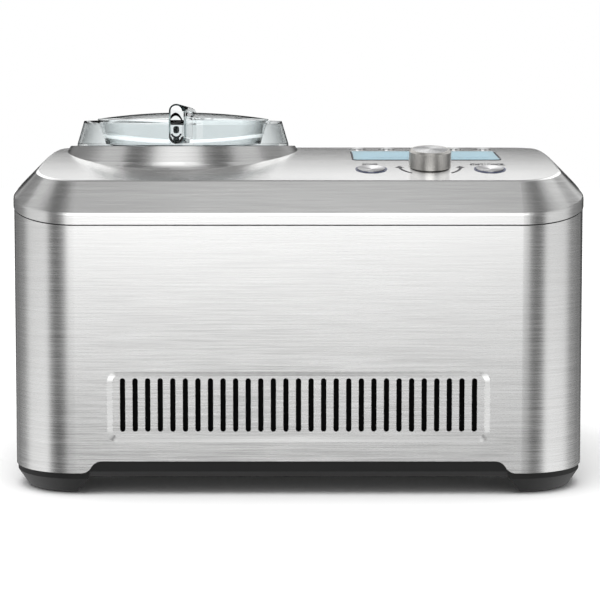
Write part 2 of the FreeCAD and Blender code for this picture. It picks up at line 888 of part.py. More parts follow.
def make_evaporator_coil():
    """Cold tube wound round the chamber wall as one helix."""
    rise = coil_pitch() * coil_turns
    path = Part.Wire(Part.makeHelix(coil_pitch(), rise, coil_radius).Edges)
    section = Part.Wire([Part.Circle(V(coil_radius, 0, 0), V(0, 1, 0), coil_tube_radius).toShape()])
    coil = path.makePipeShell([section], True, True)
    coil.rotate(V(0, 0, 0), V(0, 0, 1), header_angle)
    coil.translate(V(bowl_x, 0, coil_bottom_z()))
    return coil



def make_foam_jacket(lines):
    """Foamed cup round chamber and coil, pierced by the lines and the shaft."""
    jacket = turned([(bush_radius, foam_bottom_z), (foam_outer, foam_bottom_z), (foam_outer, flange_bottom_z),
                     (foam_inner, flange_bottom_z), (foam_inner, chamber_bottom_z),
                     (bush_radius, chamber_bottom_z)], drive_center)
    return jacket.cut(lines)


def post_angles():
    """Directions of the posts round the bowl axis."""
    return [post_first_angle + 360 / post_count * i for i in range(post_count)]


def make_chamber_posts():
    """Posts from the chassis plate to the underside of the jacket."""
    return group([post(on_chamber(post_circle, angle), deck_z, foam_bottom_z, post_radius)
                  for angle in post_angles()])


# Lid pieces

lid_base_z = rim_z - ledge_depth + rest_gap
lid_skirt_z = lid_base_z + lid_flange_height
lid_top_z = lid_skirt_z + lid_skirt_height
cap_edge_z = lid_top_z + lid_cap_edge_rise
cap_top_z = cap_edge_z + lid_cap_crown
spine_bottom_z = lid_skirt_z + rest_gap
hinge_x = bowl_x + spine_width / 2 + hinge_gap + hinge_radius
hinge_z = cap_top_z - hinge_radius + rest_gap


def tapered_plug(low, radius):
    """Round plug of the cap, narrowing downward so that the flap clears the land as it swings."""
    return turned([(0, low), (radius - lid_cap_taper, low), (radius, cap_edge_z), (radius, cap_top_z),
                   (0, cap_top_z)], drive_center)


def cap_solid():
    """Whole domed cap: a shallow dome on a round wall with a saddle-shaped lower edge."""
    sphere = (lid_cap_radius ** 2 + lid_cap_crown ** 2) / (2 * lid_cap_crown)
    low = cap_edge_z - lid_cap_skirt - lid_cap_saddle
    outer = tapered_plug(low, lid_cap_radius)
    outer = outer.common(Part.makeSphere(sphere, V(bowl_x, 0, cap_top_z - sphere)))
    inner = tapered_plug(low, lid_cap_radius - lid_wall)
    inner = inner.common(Part.makeSphere(sphere - lid_wall, V(bowl_x, 0, cap_top_z - sphere)))
    bend = (lid_cap_radius ** 2 + lid_cap_saddle ** 2) / (2 * lid_cap_saddle)
    saddle = bar_y(bowl_x, low + bend, -lid_cap_radius, lid_cap_radius, bend)
    return outer.cut(inner).common(saddle)


def spine_solid():
    """Handle spine: a tall capsule section carried front to back across the lid."""
    half = spine_width / 2
    top = spine_bottom_z + spine_height
    return fuse([box(bowl_x - half, bowl_x + half, -spine_front, spine_back, spine_bottom_z + half, top - half),
                 bar_y(bowl_x, spine_bottom_z + half, -spine_front, spine_back, half),
                 bar_y(bowl_x, top - half, -spine_front, spine_back, half)])


def make_lid_shell():
    """Clear lid body: plug, flange, leaning skirt, top land and the fixed left half of the cap."""
    lean = (lid_base_radius - lid_top_radius) / lid_skirt_height
    under_land = lid_top_z - lid_wall
    ring = turned([(lid_plug_inner, lid_base_z - lid_plug_depth), (lid_plug_radius, lid_base_z - lid_plug_depth),
                   (lid_plug_radius, lid_base_z), (lid_base_radius, lid_base_z), (lid_base_radius, lid_skirt_z),
                   (lid_top_radius, lid_top_z), (lid_land_inner, lid_top_z), (lid_land_inner, under_land),
                   (lid_top_radius - lid_wall + lean * lid_wall, under_land),
                   (lid_base_radius - lid_wall, lid_skirt_z), (lid_plug_inner, lid_skirt_z)], drive_center)
    web = tube(drive_center, under_land, lid_top_z, lid_land_inner, lid_cap_radius - lid_wall)
    reach = 2 * lid_base_radius
    left = box(bowl_x - reach, bowl_x - spine_width / 2, -reach, reach, 0, 2 * rim_z)
    half_cap = fuse([cap_solid(), web]).common(left)
    return fuse([ring, half_cap]).cut(spine_solid())


def hinge_lugs():
    """Two ears on the spine that hold the hinge pin."""
    lugs = []
    for side in (-1, 1):
        y0 = side * (hinge_barrel_half + hinge_gap + hinge_lug_width / 2) - hinge_lug_width / 2
        y1 = y0 + hinge_lug_width
        arm = box(bowl_x, hinge_x, y0, y1, hinge_z - hinge_radius, hinge_z + hinge_radius)
        lugs.append(fuse([arm, bar_y(hinge_x, hinge_z, y0, y1, hinge_radius)]))
    return lugs


def pin_half_length():
    """Half the length of the hinge pin, ending flush with the ears."""
    return hinge_barrel_half + hinge_gap + hinge_lug_width


def make_lid_handle():
    """Handle spine with the two hinge ears."""
    reach = pin_half_length()
    return fuse([spine_solid()] + hinge_lugs()).cut(bar_y(hinge_x, hinge_z, -reach, reach, hinge_pin_radius))


def make_hinge_pin():
    """Pin that the ingredient flap swings on."""
    reach = pin_half_length()
    return bar_y(hinge_x, hinge_z, -reach, reach, hinge_pin_radius)


def make_lid_flap():
    """Half-moon ingredient flap: the right half of the cap with a hinge barrel along its straight edge."""
    reach = 2 * lid_base_radius
    right = box(hinge_x, bowl_x + reach, -reach, reach, 0, 2 * rim_z)
    barrel = bar_y(hinge_x, hinge_z, -hinge_barrel_half, hinge_barrel_half, hinge_radius)
    bore = bar_y(hinge_x, hinge_z, -reach, reach, hinge_pin_radius + running_clearance)
    flap = fuse([cap_solid().common(right), barrel])
    room = []
    for side in (-1, 1):
        inner_y = side * hinge_barrel_half
        outer_y = side * lid_base_radius
        x1 = hinge_x + hinge_radius + hinge_gap
        room.append(box(bowl_x, x1, min(inner_y, outer_y), max(inner_y, outer_y), 0, 2 * rim_z))
    return flap.cut(room + [bore])


def make_lid_seal():
    """Soft ring round the lid's plug."""
    top = lid_base_z - rest_gap
    return tube(drive_center, top - lid_seal_height, top, lid_plug_radius + lid_seal_width, lid_plug_radius)


# Paddle and drive


def make_paddle():
    """Dasher: hub that caps the chimney, and two open frames that sweep the bowl."""
    bore = shaft_radius + lift_clearance + chimney_wall + paddle_hub_clearance
    hub_r = bore + paddle_hub_wall
    low = bowl_floor_z + paddle_gap
    chimney_top = bowl_floor_z + chimney_height
    roof = chimney_top + paddle_hub_clearance
    top = roof + socket_wall
    hub = post(drive_center, low, top, hub_r)
    wing_r = bowl_radius - bowl_draft - paddle_gap
    high = low + paddle_height
    half = paddle_thickness / 2
    outline = [(0, low), (wing_r, low), (wing_r, high), (wing_r - paddle_frame, high), (0, top)]
    inner_r = wing_r - paddle_frame
    window = [(hub_r, low + paddle_frame), (inner_r, low + paddle_frame), (inner_r, high - 2 * paddle_frame),
              (hub_r, top - 2 * paddle_frame)]
    wings = []
    windows = []
    for side in (-1, 1):
        wings.append(prism_y([(bowl_x + side * r, z) for r, z in outline], -half, half))
        windows.append(prism_y([(bowl_x + side * r, z) for r, z in window], -half, half))
    frame = fuse(wings).cut(windows)
    across = drive_square / 2 + drive_clearance
    socket = box(bowl_x - across, bowl_x + across, -across, across, roof,
                 chimney_top + drive_square_length - paddle_hub_clearance)
    return fuse([hub, frame]).cut([post(drive_center, low, roof, bore), socket])


def square_top_z():
    """Top of the shaft's square end, inside the paddle's socket."""
    return bowl_floor_z + chimney_height + drive_square_length - 2 * paddle_hub_clearance


def make_drive_shaft():
    """Upright shaft from the gearbox cover to its square end in the paddle."""
    shoulder = bowl_floor_z + chimney_height
    half = drive_square / 2
    square = box(bowl_x - half, bowl_x + half, -half, half, shoulder, square_top_z())
    return fuse([post(drive_center, gearbox_bottom_z, shoulder, shaft_radius), square])


def gear_outline(teeth, phase):
    """Involute spur gear outline about the origin, with one tooth centred on the angle phase."""
    pitch_r = pitch_radius(teeth)
    pressure = math.radians(gear_pressure)
    base_r = pitch_r * math.cos(pressure)
    tip_r = pitch_r + gear_addendum * gear_module
    root_r = pitch_r - gear_dedendum * gear_module
    start_r = max(root_r, base_r)
    half_tooth = math.pi / (2 * teeth) - gear_backlash / (4 * pitch_r)

    def half_angle(radius):
        """Half the tooth's angle at a radius, from the involute of the base circle."""
        roll = math.acos(min(1.0, base_r / radius))
        return half_tooth + math.tan(pressure) - pressure - math.tan(roll) + roll

    def at(radius, angle):
        """Point in polar form."""
        return V(radius * math.cos(angle), radius * math.sin(angle), 0)

    middle_r = (start_r + tip_r) / 2
    edges = []
    step = 2 * math.pi / teeth
    for i in range(teeth):
        center = math.radians(phase) + step * i
        up = [at(r, center - half_angle(r)) for r in (start_r, middle_r, tip_r)]
        down = [at(r, center + half_angle(r)) for r in (tip_r, middle_r, start_r)]
        root_in = at(root_r, center - half_angle(start_r))
        root_out = at(root_r, center + half_angle(start_r))
        root_next = at(root_r, center + step - half_angle(start_r))
        if root_r < start_r:
            edges.append(Part.LineSegment(root_in, up[0]).toShape())
        edges.append(Part.Arc(*up).toShape())
        edges.append(Part.LineSegment(up[2], down[0]).toShape())
        edges.append(Part.Arc(*down).toShape())
        if root_r < start_r:
            edges.append(Part.LineSegment(down[2], root_out).toShape())
        edges.append(Part.LineSegment(root_out, root_next).toShape())
    return Part.Wire(edges)


def gear(teeth, phase, center, z0, z1):
    """Spur gear blank with teeth."""
    face = Part.Face(gear_outline(teeth, phase))
    face.translate(V(center[0], center[1], z0))
    return face.extrude(V(0, 0, z1 - z0))


def facing_phase(teeth):
    """Angle that puts a gap of a follower gear opposite a tooth of the gear before it."""
    return gear_line_angle + 180 + 180 / teeth


def make_drive_gear():
    """Large wheel on the drive shaft."""
    wheel = gear(drive_teeth, gear_line_angle, drive_center, drive_gear_z, drive_gear_z + gear_face)
    hub = post(drive_center, drive_gear_z - gear_gap / 2, drive_gear_z + gear_face + gear_gap / 2, 2 * shaft_radius)
    return fuse([wheel, hub]).cut(post(drive_center, 0, rim_z, shaft_radius))


def make_idler_gear():
    """Two gears in one piece: the large one takes the motor pinion, the small one turns the wheel."""
    top = drive_gear_z + gear_face + gear_gap / 2
    large = gear(idler_large_teeth, gear_line_angle, idler_center, idler_wheel_z, idler_wheel_z + gear_face)
    small = gear(idler_small_teeth, facing_phase(idler_small_teeth), idler_center, idler_wheel_z + gear_face, top)
    bore = post(idler_center, 0, rim_z, idler_pin_radius + running_clearance)
    return fuse([large, small]).cut(bore)


def make_idler_pin():
    """Fixed pin of the idler gear, between gearbox cover and housing."""
    return post(idler_center, gearbox_bottom_z + gearbox_wall, gearbox_top_z - gearbox_wall, idler_pin_radius)


def make_motor_pinion():
    """Pinion in one with the motor's shaft."""
    teeth = gear(pinion_teeth, facing_phase(pinion_teeth), motor_center, idler_wheel_z - gear_gap / 2,
                 idler_wheel_z + gear_face + gear_gap / 2)
    return fuse([teeth, post(motor_center, idler_wheel_z, gearbox_top_z + motor_height / 2, motor_shaft_radius)])


def gearbox_lobes(margin, z0, z1):
    """Three overlapping rounds that follow the gears, margin outside the tooth tips."""
    tip = gear_addendum * gear_module + margin
    return fuse([post(drive_center, z0, z1, pitch_radius(drive_teeth) + tip),
                 post(idler_center, z0, z1, pitch_radius(idler_large_teeth) + tip),
                 post(motor_center, z0, z1, pitch_radius(pinion_teeth) + tip)])


def make_gearbox_housing():
    """Lobed housing, open below, with the bush seat and the hole for the motor's boss."""
    bottom = gearbox_bottom_z + gearbox_wall
    outer = gearbox_lobes(gearbox_margin, bottom, gearbox_top_z)
    cavity = gearbox_lobes(gearbox_margin - gearbox_wall, bottom, gearbox_top_z - gearbox_wall)
    return outer.cut([cavity, post(drive_center, bottom, gearbox_top_z, bush_radius),
                      post(motor_center, bottom, gearbox_top_z, motor_boss_radius)])


def gearbox_foot_places():
    """Feet under the gearbox cover."""
    wide = pitch_radius(drive_teeth) - gearbox_foot_radius
    return [on_chamber(wide, 90), on_chamber(wide, 180), on_chamber(wide, 270),
            along_gear_line(motor_distance - 2 * gearbox_foot_radius)]


def make_gearbox_cover():
    """Lower cover with the shaft's lower bearing and feet on the chassis plate."""
    top = gearbox_bottom_z + gearbox_wall
    plate = gearbox_lobes(gearbox_margin, gearbox_bottom_z, top)
    feet = [post(spot, deck_z, gearbox_bottom_z, gearbox_foot_radius) for spot in gearbox_foot_places()]
    return fuse([plate] + feet).cut(post(drive_center, gearbox_bottom_z, top, shaft_radius + running_clearance))


def make_shaft_bush():
    """Bearing bush at the top of the gearbox."""
    bottom = gearbox_top_z - gearbox_wall
    return tube(drive_center, bottom, bottom + bush_length - gearbox_wall, bush_radius,
                shaft_radius + running_clearance)


def make_shaft_seal():
    """Lip seal in the chamber floor."""
    return tube(drive_center, chamber_bottom_z, chamber_floor_z, seal_radius, shaft_radius + drive_clearance)


def make_drive_motor():
    """Upright motor on the gearbox, beside the jacket, with a boss in the housing."""
    top = gearbox_top_z + motor_height
    can = turned([(0, gearbox_top_z), (motor_radius, gearbox_top_z), (motor_radius, top - gear_gap),
                  (motor_radius - gear_gap, top), (0, top)], motor_center)
    boss = post(motor_center, gearbox_top_z - gearbox_wall, gearbox_top_z, motor_boss_radius)
    shaft_room = post(motor_center, 0, gearbox_top_z + motor_height / 2 + running_clearance,
                      motor_shaft_radius + running_clearance)
    return fuse([can, boss]).cut(shaft_room)


# Cold circuit


def make_compressor():
    """Hermetic can: two drawn halves with a welded seam, on a foot plate."""
    center = (compressor_x, compressor_y)
    low = deck_z + grommet_height
    foot = rounded_block(2 * (grommet_x + grommet_radius), 2 * (grommet_y + grommet_radius), grommet_radius,
                         low, low + compressor_plate)
    foot.translate(V(compressor_x, compressor_y, 0))
    start = low + compressor_plate
    end = start + compressor_height
    shoulder = compressor_radius / 3
    seam_z = start + compressor_height * compressor_seam_level
    r = compressor_radius - compressor_seam
    can = turned([(0, start), (r, start), (r, seam_z - compressor_seam), (compressor_radius, seam_z - compressor_seam),
                  (compressor_radius, seam_z), (r, seam_z), (r, end - shoulder), (r - shoulder, end), (0, end)], center)
    return fuse([foot, can])


def make_grommets():
    """Rubber feet of the compressor."""
    spots = [(compressor_x + sx * grommet_x, compressor_y + sy * grommet_y) for sx in (-1, 1) for sy in (-1, 1)]
    return group([post(spot, deck_z, deck_z + grommet_height, grommet_radius) for spot in spots])


condenser_front = front_y + wrap_step + vent_depth + sheet + condenser_front_gap
condenser_back = condenser_front + condenser_depth
condenser_left = condenser_x - condenser_width / 2
condenser_right = condenser_x + condenser_width / 2
fan_z = deck_z + condenser_height / 2


def condenser_levels():
    """Heights of the condenser's tube rows."""
    pitch = condenser_height / condenser_rows
    return [deck_z + pitch * (i + 0.5) for i in range(condenser_rows)]


def make_condenser_tube():
    """Serpentine tube through the fins, with round return bends."""
    y = (condenser_front + condenser_back) / 2
    levels = condenser_levels()
    pieces = [bar_x(y, z, condenser_left, condenser_right, condenser_tube_radius) for z in levels]
    for i, (z0, z1) in enumerate(zip(levels, levels[1:])):
        x = condenser_right if i % 2 == 0 else condenser_left
        bend = Part.makeTorus((z1 - z0) / 2, condenser_tube_radius, V(x, y, (z0 + z1) / 2), V(0, 1, 0))
        outside = box(x, x + condenser_width, condenser_front, condenser_back, z0 - condenser_depth, z1 + condenser_depth)
        if i % 2:
            outside.translate(V(-condenser_width, 0, 0))
        pieces.append(bend.common(outside))
    return fuse(pieces)


def make_condenser_fins(tube_solid):
    """Row of upright fins on the serpentine tube, standing on the chassis plate."""
    pitch = (condenser_width - fin_thickness) / (fin_count - 1)
    fins = []
    for i in range(fin_count):
        x = condenser_left + pitch * i
        fins.append(box(x, x + fin_thickness, condenser_front, condenser_back, deck_z, deck_z + condenser_height))
    return group([fin.cut(tube_solid) for fin in fins])


shroud_front = condenser_back
shroud_back = shroud_front + shroud_depth


def make_fan_shroud():
    """Plate behind the condenser with a round duct and a three-armed carrier for the fan motor."""
    plate = box(condenser_left, condenser_right, shroud_front, shroud_front + shroud_thickness, deck_z,
                deck_z + condenser_height)
    duct_r = fan_radius + fan_tip_gap
    duct = bar_y(condenser_x, fan_z, shroud_front, shroud_back, duct_r + shroud_thickness)
    arms = []
    for i in range(3):
        arm = box(condenser_x - 2 * shroud_thickness, condenser_x + 2 * shroud_thickness,
                  shroud_back - shroud_thickness, shroud_back, fan_z, fan_z + duct_r + shroud_thickness / 2)
        arm.rotate(V(condenser_x, 0, fan_z), V(0, 1, 0), 120 * i)
        arms.append(arm)
    seat = bar_y(condenser_x, fan_z, shroud_back - shroud_thickness, shroud_back, fan_motor_radius)
    ring = fuse([plate, duct]).cut(bar_y(condenser_x, fan_z, shroud_front, shroud_back, duct_r))
    shaft_hole = bar_y(condenser_x, fan_z, shroud_front, shroud_back, fan_shaft_radius + running_clearance)
    return fuse([ring, seat] + arms).cut(shaft_hole)


def make_fan_motor():
    """Small motor behind the shroud's carrier."""
    body = bar_y(condenser_x, fan_z, shroud_back, shroud_back + fan_motor_length, fan_motor_radius)
    room = bar_y(condenser_x, fan_z, shroud_back, shroud_back + fan_motor_length / 2,
                 fan_shaft_radius + running_clearance)
    return body.cut(room)


def blade_section(radius, pitch_degrees, chord):
    """Thin four-cornered section of a fan blade, square to its radius."""
    half = chord / 2
    thick = shroud_thickness / 2
    angle = math.radians(pitch_degrees)
    along = V(math.cos(angle), math.sin(angle), 0)
    across = V(-math.sin(angle), math.cos(angle), 0)
    corners = [along * (sx * half) + across * (sy * thick) for sx, sy in ((-1, -1), (1, -1), (1, 1), (-1, 1))]
    points = [V(c.x, c.y, radius) for c in corners]
    return Part.makePolygon(points + points[:1])


def make_fan_blades():
    """Axial fan: hub, twisted blades and its shaft in the motor."""
    middle_y = shroud_front + shroud_thickness + fan_depth / 2
    root_r = fan_hub_radius - shroud_thickness
    blade = Part.makeLoft([blade_section(root_r, fan_root_pitch, fan_root_chord),
                           blade_section(fan_radius, fan_tip_pitch, fan_tip_chord)], True, True)
    hub = bar_y(0, 0, -fan_depth / 2, fan_depth / 2, fan_hub_radius)
    blades = []
    for i in range(fan_blade_count):
        turned_blade = blade.copy()
        turned_blade.rotate(V(0, 0, 0), V(0, 1, 0), 360.0 * i / fan_blade_count)
        blades.append(turned_blade)
    shaft = bar_y(0, 0, 0, shroud_back + fan_motor_length / 2 - running_clearance - middle_y, fan_shaft_radius)
    fan = fuse([hub, shaft] + blades)
    fan.translate(V(condenser_x, middle_y, fan_z))
    return fan


drier_x = (bowl_x + foam_outer + compressor_x - compressor_radius) / 2
drier_y = compressor_y + 2 * compressor_radius / 3
drier_z = deck_z + condenser_height / 2


def make_filter_drier():
    """Copper drier capsule with tapered ends."""
    r = drier_radius
    end = drier_z + drier_length
    return turned([(0, drier_z), (line_radius, drier_z), (r, drier_z + r), (r, end - r), (line_radius, end), (0, end)],
                  (drier_x, drier_y))


def line_paths():
    """Corner points of the three lines: suction, discharge and liquid."""
    can_top = deck_z + grommet_height + compressor_plate + compressor_height
    out_high = on_chamber(coil_radius, header_angle)
    away_high = on_chamber(foam_outer + 2 * line_bend, header_angle)
    suction_z = coil_bottom_z() + coil_pitch() * coil_turns
    suction = [(*out_high, suction_z), (*away_high, suction_z), (compressor_x, compressor_y, suction_z),
               (compressor_x, compressor_y, can_top)]
    side_y = compressor_y - compressor_radius / 2
    tube_y = (condenser_front + condenser_back) / 2
    top_row = condenser_levels()[-1]
    over = can_top + 2 * line_bend
    discharge = [(compressor_x + 2 * line_bend, side_y, can_top - compressor_radius / 2),
                 (compressor_x + 2 * line_bend, side_y, over),
                 (condenser_right + line_bend, side_y, over),
                 (condenser_right + line_bend, tube_y, over),
                 (condenser_right + line_bend, tube_y, top_row),
                 (condenser_right - fin_thickness, tube_y, top_row)]
    liquid_z = coil_height(liquid_angle)
    liquid = [(drier_x, drier_y, drier_z + drier_length), (drier_x, drier_y, drier_z + drier_length + 2 * line_bend),
              (*on_chamber(foam_outer + 3 * line_bend, liquid_angle), drier_z + drier_length + 2 * line_bend),
              (*on_chamber(foam_outer + 3 * line_bend, liquid_angle), liquid_z),
              (*on_chamber(coil_radius + coil_tube_radius, liquid_angle), liquid_z)]
    return suction, discharge, liquid


def make_lines(blocking):
    """The copper lines, each ending on the piece it joins."""
    lines = []
    for path in line_paths():
        lines.append(bent_tube(path, line_bend, line_radius).cut(blocking))
    return lines


# Control panel pieces


def make_knob():
    """Turned knob: a cup with a seat for its cap and a socket on the encoder shaft."""
    top = knob_lift + knob_height
    cup = post((0, 0), knob_lift, top, knob_radius)
    hollow = post((0, 0), knob_lift, top - knob_cap_depth - knob_wall, knob_radius - knob_wall)
    hub = post((0, 0), knob_lift, top - knob_cap_depth - knob_wall, encoder_shaft_radius + knob_wall)
    seat = post((0, 0), top - knob_cap_depth, top, knob_cap_radius)
    socket = post((0, 0), knob_lift, top - knob_cap_depth - knob_wall, encoder_shaft_radius)
    edge = [e for e in cup.Edges if abs(e.BoundBox.ZMin - top) < 0.01]
    cup = cup.makeChamfer(knob_cap_depth, edge)
    knob = fuse([cup.cut(hollow), hub]).cut([seat, socket])
    return placed(knob, panel_place(panel_x, knob_run))


def make_knob_cap():
    """Spun disc let into the knob's top."""
    top = knob_lift + knob_height
    return placed(post((0, 0), top - knob_cap_depth, top, knob_cap_radius), panel_place(panel_x, knob_run))


def make_encoder_shaft():
    """Shaft that turns with the knob."""
    top = knob_lift + knob_height - knob_cap_depth - knob_wall
    return placed(post((0, 0), -board_drop / 2, top, encoder_shaft_radius), panel_place(panel_x, knob_run))


def above_board():
    """Space on the upper side of the control board."""
    reach = board_width
    return placed(box(-reach, reach, -reach, reach, 0, 2 * board_drop), board_place())


def make_encoder():
    """Rotary encoder on the board, with a bushing through the hood."""
    half = encoder_body / 2
    body = box(-half, half, -half, half, -2 * board_drop, -board_drop / 2 + knob_wall)
    bushing = post((0, 0), -board_drop / 2, knob_lift - rest_gap, encoder_bushing_radius)
    room = post((0, 0), -board_drop / 2 - running_clearance, board_drop, encoder_shaft_radius + running_clearance)
    encoder = placed(fuse([body, bushing]).cut(room), panel_place(panel_x, knob_run))
    return encoder.common(above_board())


stem_length = board_drop / 2


def make_button(radius, height, place):
    """Round push button with a shallow dish, a retaining collar and a stem."""
    collar_top = -hood_wall - ring_width - button_side_gap
    dish = (radius ** 2 + button_dish ** 2) / (2 * button_dish)
    cap = post((0, 0), collar_top, height, radius)
    cap = cap.cut(Part.makeSphere(dish, V(0, 0, height + dish - button_dish)))
    collar = post((0, 0), collar_top - knob_wall, collar_top, radius + button_side_gap + ring_width / 2)
    stem = post((0, 0), -stem_length, collar_top, radius / 3)
    return placed(fuse([cap, collar, stem]), place)


def make_switch(radius, place):
    """Small switch on the board, just below a button's stem at full travel."""
    half = radius / 2
    body = box(-half, half, -half, half, -2 * board_drop, -stem_length - button_travel - button_side_gap)
    return placed(body, place).common(above_board())


def main_button_places():
    """Places of the two main buttons, left then right."""
    return [panel_place(panel_x + side * main_button_spread, control_run) for side in (-1, 1)]


def mode_button_places():
    """Places of the four mode buttons, left to right."""
    return [panel_place(panel_x + offset, mode_run) for offset in mode_offsets()]


def make_button_rings():
    """Dark rings let into the hood round the two main buttons."""
    inner = main_button_radius + button_side_gap
    ring = tube((0, 0), -hood_wall - ring_width, button_side_gap, inner + ring_width, inner)
    return group([placed(ring, place) for place in main_button_places()])


def make_switches():
    """All the switches under the buttons."""
    switches = [make_switch(main_button_radius, place) for place in main_button_places()]
    switches += [make_switch(mode_button_radius, place) for place in mode_button_places()]
    return group(switches)


def make_display_window():
    """Clear window let into the hood."""
    pane = rounded_block(window_width, window_length, window_corner, -window_thickness, 0)
    return placed(pane, panel_place(panel_x, window_run))


def make_display_module():
    """Display in its frame, from the board up to the hood's underside."""
    width = window_width - 2 * module_margin
    length = window_length - 2 * module_margin
    block = box(-width / 2, width / 2, -length / 2, length / 2, -board_drop, -window_thickness - rest_gap)
    return placed(block, panel_place(panel_x, window_run))


def make_control_board():
    """Board that carries display, encoder and switches."""
    board = box(-board_width / 2, board_width / 2, -board_length / 2, board_length / 2, -board_thickness, 0)
    holes = [post(spot, -board_thickness, 0, board_screw_radius) for spot in board_corners()]
    return placed(board.cut(holes), board_place())


def make_board_screws():
    """Screws up through the board into the hood's posts."""
    screws = []
    for spot in board_corners():
        shank = post(spot, -board_thickness, board_drop / 3, board_screw_radius)
        head = post(spot, -board_thickness - board_screw_head / 2, -board_thickness, board_screw_head)
        screws.append(placed(fuse([shank, head]), board_place()))
    return group(screws)


def make_power_board():
    """Upright mains board on the chassis plate, with its transformer and capacitor."""
    half = power_board_length / 2
    sheet_x = power_board_x
    board = box(sheet_x, sheet_x + board_thickness, -half, half, deck_z, deck_z + power_board_height)
    transformer = box(sheet_x - transformer_depth, sheet_x, -half + board_drop / 2, -half / 3, deck_z + board_drop,
                      deck_z + power_board_height - board_drop)
    capacitor = bar_x(half / 2, deck_z + power_board_height / 2, sheet_x - capacitor_length, sheet_x, capacitor_radius)
    return fuse([board, transformer, capacitor])


def build():
    """Every piece, by its name."""
    nodes["hood"] = make_hood()
    nodes["collar_liner"] = make_collar_liner()
    nodes["seam_gasket"] = make_seam_gasket()
    nodes["body_wrap"] = make_body_wrap()
    nodes["vent_grille"] = make_vent_grille()
    nodes["rear_panel"] = make_rear_panel()
    nodes["rear_screws"] = make_rear_screws()
    nodes["cord_gland"] = make_cord_gland()
    nodes["base_tray"] = make_base_tray()
    nodes["foot_pads"] = make_foot_pads()
    nodes["chassis_plate"] = make_chassis_plate()
    nodes["base_screws"] = make_base_screws()
    nodes["bowl"] = make_bowl()
    nodes["cooling_chamber"] = make_chamber()
    nodes["chamber_seal"] = make_chamber_seal()
    nodes["evaporator_coil"] = make_evaporator_coil()
    nodes["chamber_posts"] = make_chamber_posts()
    nodes["lid_shell"] = make_lid_shell()
    nodes["lid_handle"] = make_lid_handle()
    nodes["lid_hinge_pin"] = make_hinge_pin()
    nodes["lid_flap"] = make_lid_flap()
    nodes["lid_seal"] = make_lid_seal()
    nodes["paddle"] = make_paddle()
    nodes["drive_shaft"] = make_drive_shaft()
    nodes["drive_gear"] = make_drive_gear()
    nodes["idler_gear"] = make_idler_gear()
    nodes["idler_pin"] = make_idler_pin()
    nodes["motor_pinion"] = make_motor_pinion()
    nodes["gearbox_housing"] = make_gearbox_housing()
    nodes["gearbox_cover"] = make_gearbox_cover()
    nodes["shaft_bush"] = make_shaft_bush()
    nodes["shaft_seal"] = make_shaft_seal()
    nodes["drive_motor"] = make_drive_motor()
    nodes["compressor"] = make_compressor()
    nodes["compressor_grommets"] = make_grommets()
    nodes["condenser_tube"] = make_condenser_tube()
    nodes["condenser_fins"] = make_condenser_fins(nodes["condenser_tube"])
    nodes["fan_shroud"] = make_fan_shroud()
    nodes["fan_motor"] = make_fan_motor()
    nodes["fan_blades"] = make_fan_blades()
    nodes["filter_drier"] = make_filter_drier()
    ends = [nodes["compressor"], nodes["evaporator_coil"], nodes["filter_drier"], nodes["condenser_tube"]]
    lines = make_lines(ends)
    nodes["refrigerant_lines"] = group(lines)
    nodes["foam_jacket"] = make_foam_jacket(lines)
    nodes["knob"] = make_knob()
    nodes["knob_cap"] = make_knob_cap()
    nodes["encoder_shaft"] = make_encoder_shaft()
    nodes["encoder"] = make_encoder()
    left, right = main_button_places()
    nodes["power_button"] = make_button(main_button_radius, button_height, left)
    nodes["start_button"] = make_button(main_button_radius, button_height, right)
    for number, place in enumerate(mode_button_places(), 1):
        nodes[f"mode_button_{number}"] = make_button(mode_button_radius, mode_button_height, place)
    nodes["button_rings"] = make_button_rings()
    nodes["button_switches"] = make_switches()
    nodes["display_window"] = make_display_window()
    nodes["display_module"] = make_display_module()
    nodes["control_board"] = make_control_board()
    nodes["board_screws"] = make_board_screws()
    nodes["power_board"] = make_power_board()


build()
os.makedirs("parts", exist_ok=True)
for name, shape in nodes.items():
    solids = shape.Solids
    if not solids or not all(solid.isValid() for solid in solids):
        raise ValueError(f"{name} is not a set of valid solids")
    shape.exportStep(f"parts/{name}.step")
    print(f"{name}: {len(solids)} solid(s), {shape.Volume / 1000:.1f} cm3")
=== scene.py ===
"""Looks of the ice cream maker: finishes, printed marks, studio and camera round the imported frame."""

import math

import bpy
import numpy as np
from bpy.props import FloatProperty, FloatVectorProperty, PointerProperty
from bpy.types import Operator, Panel, PropertyGroup
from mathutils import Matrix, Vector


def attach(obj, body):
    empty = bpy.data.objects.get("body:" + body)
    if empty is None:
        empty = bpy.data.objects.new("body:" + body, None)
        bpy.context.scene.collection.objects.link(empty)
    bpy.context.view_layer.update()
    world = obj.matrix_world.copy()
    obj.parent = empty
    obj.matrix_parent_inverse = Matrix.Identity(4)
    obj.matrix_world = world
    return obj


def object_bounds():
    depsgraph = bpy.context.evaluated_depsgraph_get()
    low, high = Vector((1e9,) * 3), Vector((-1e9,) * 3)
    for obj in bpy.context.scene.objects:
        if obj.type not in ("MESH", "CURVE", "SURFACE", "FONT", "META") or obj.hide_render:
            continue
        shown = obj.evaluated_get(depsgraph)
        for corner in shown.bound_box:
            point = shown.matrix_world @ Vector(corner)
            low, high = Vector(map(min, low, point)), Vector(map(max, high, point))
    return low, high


bl_info = {
    "name": "Ice cream maker looks",
    "version": (1, 0, 0),
    "blender": (4, 5, 0),
    "location": "3D View > Sidebar > Ice cream maker",
    "description": "Finishes, printed marks, studio and camera for the ice cream maker",
    "category": "Object",
}

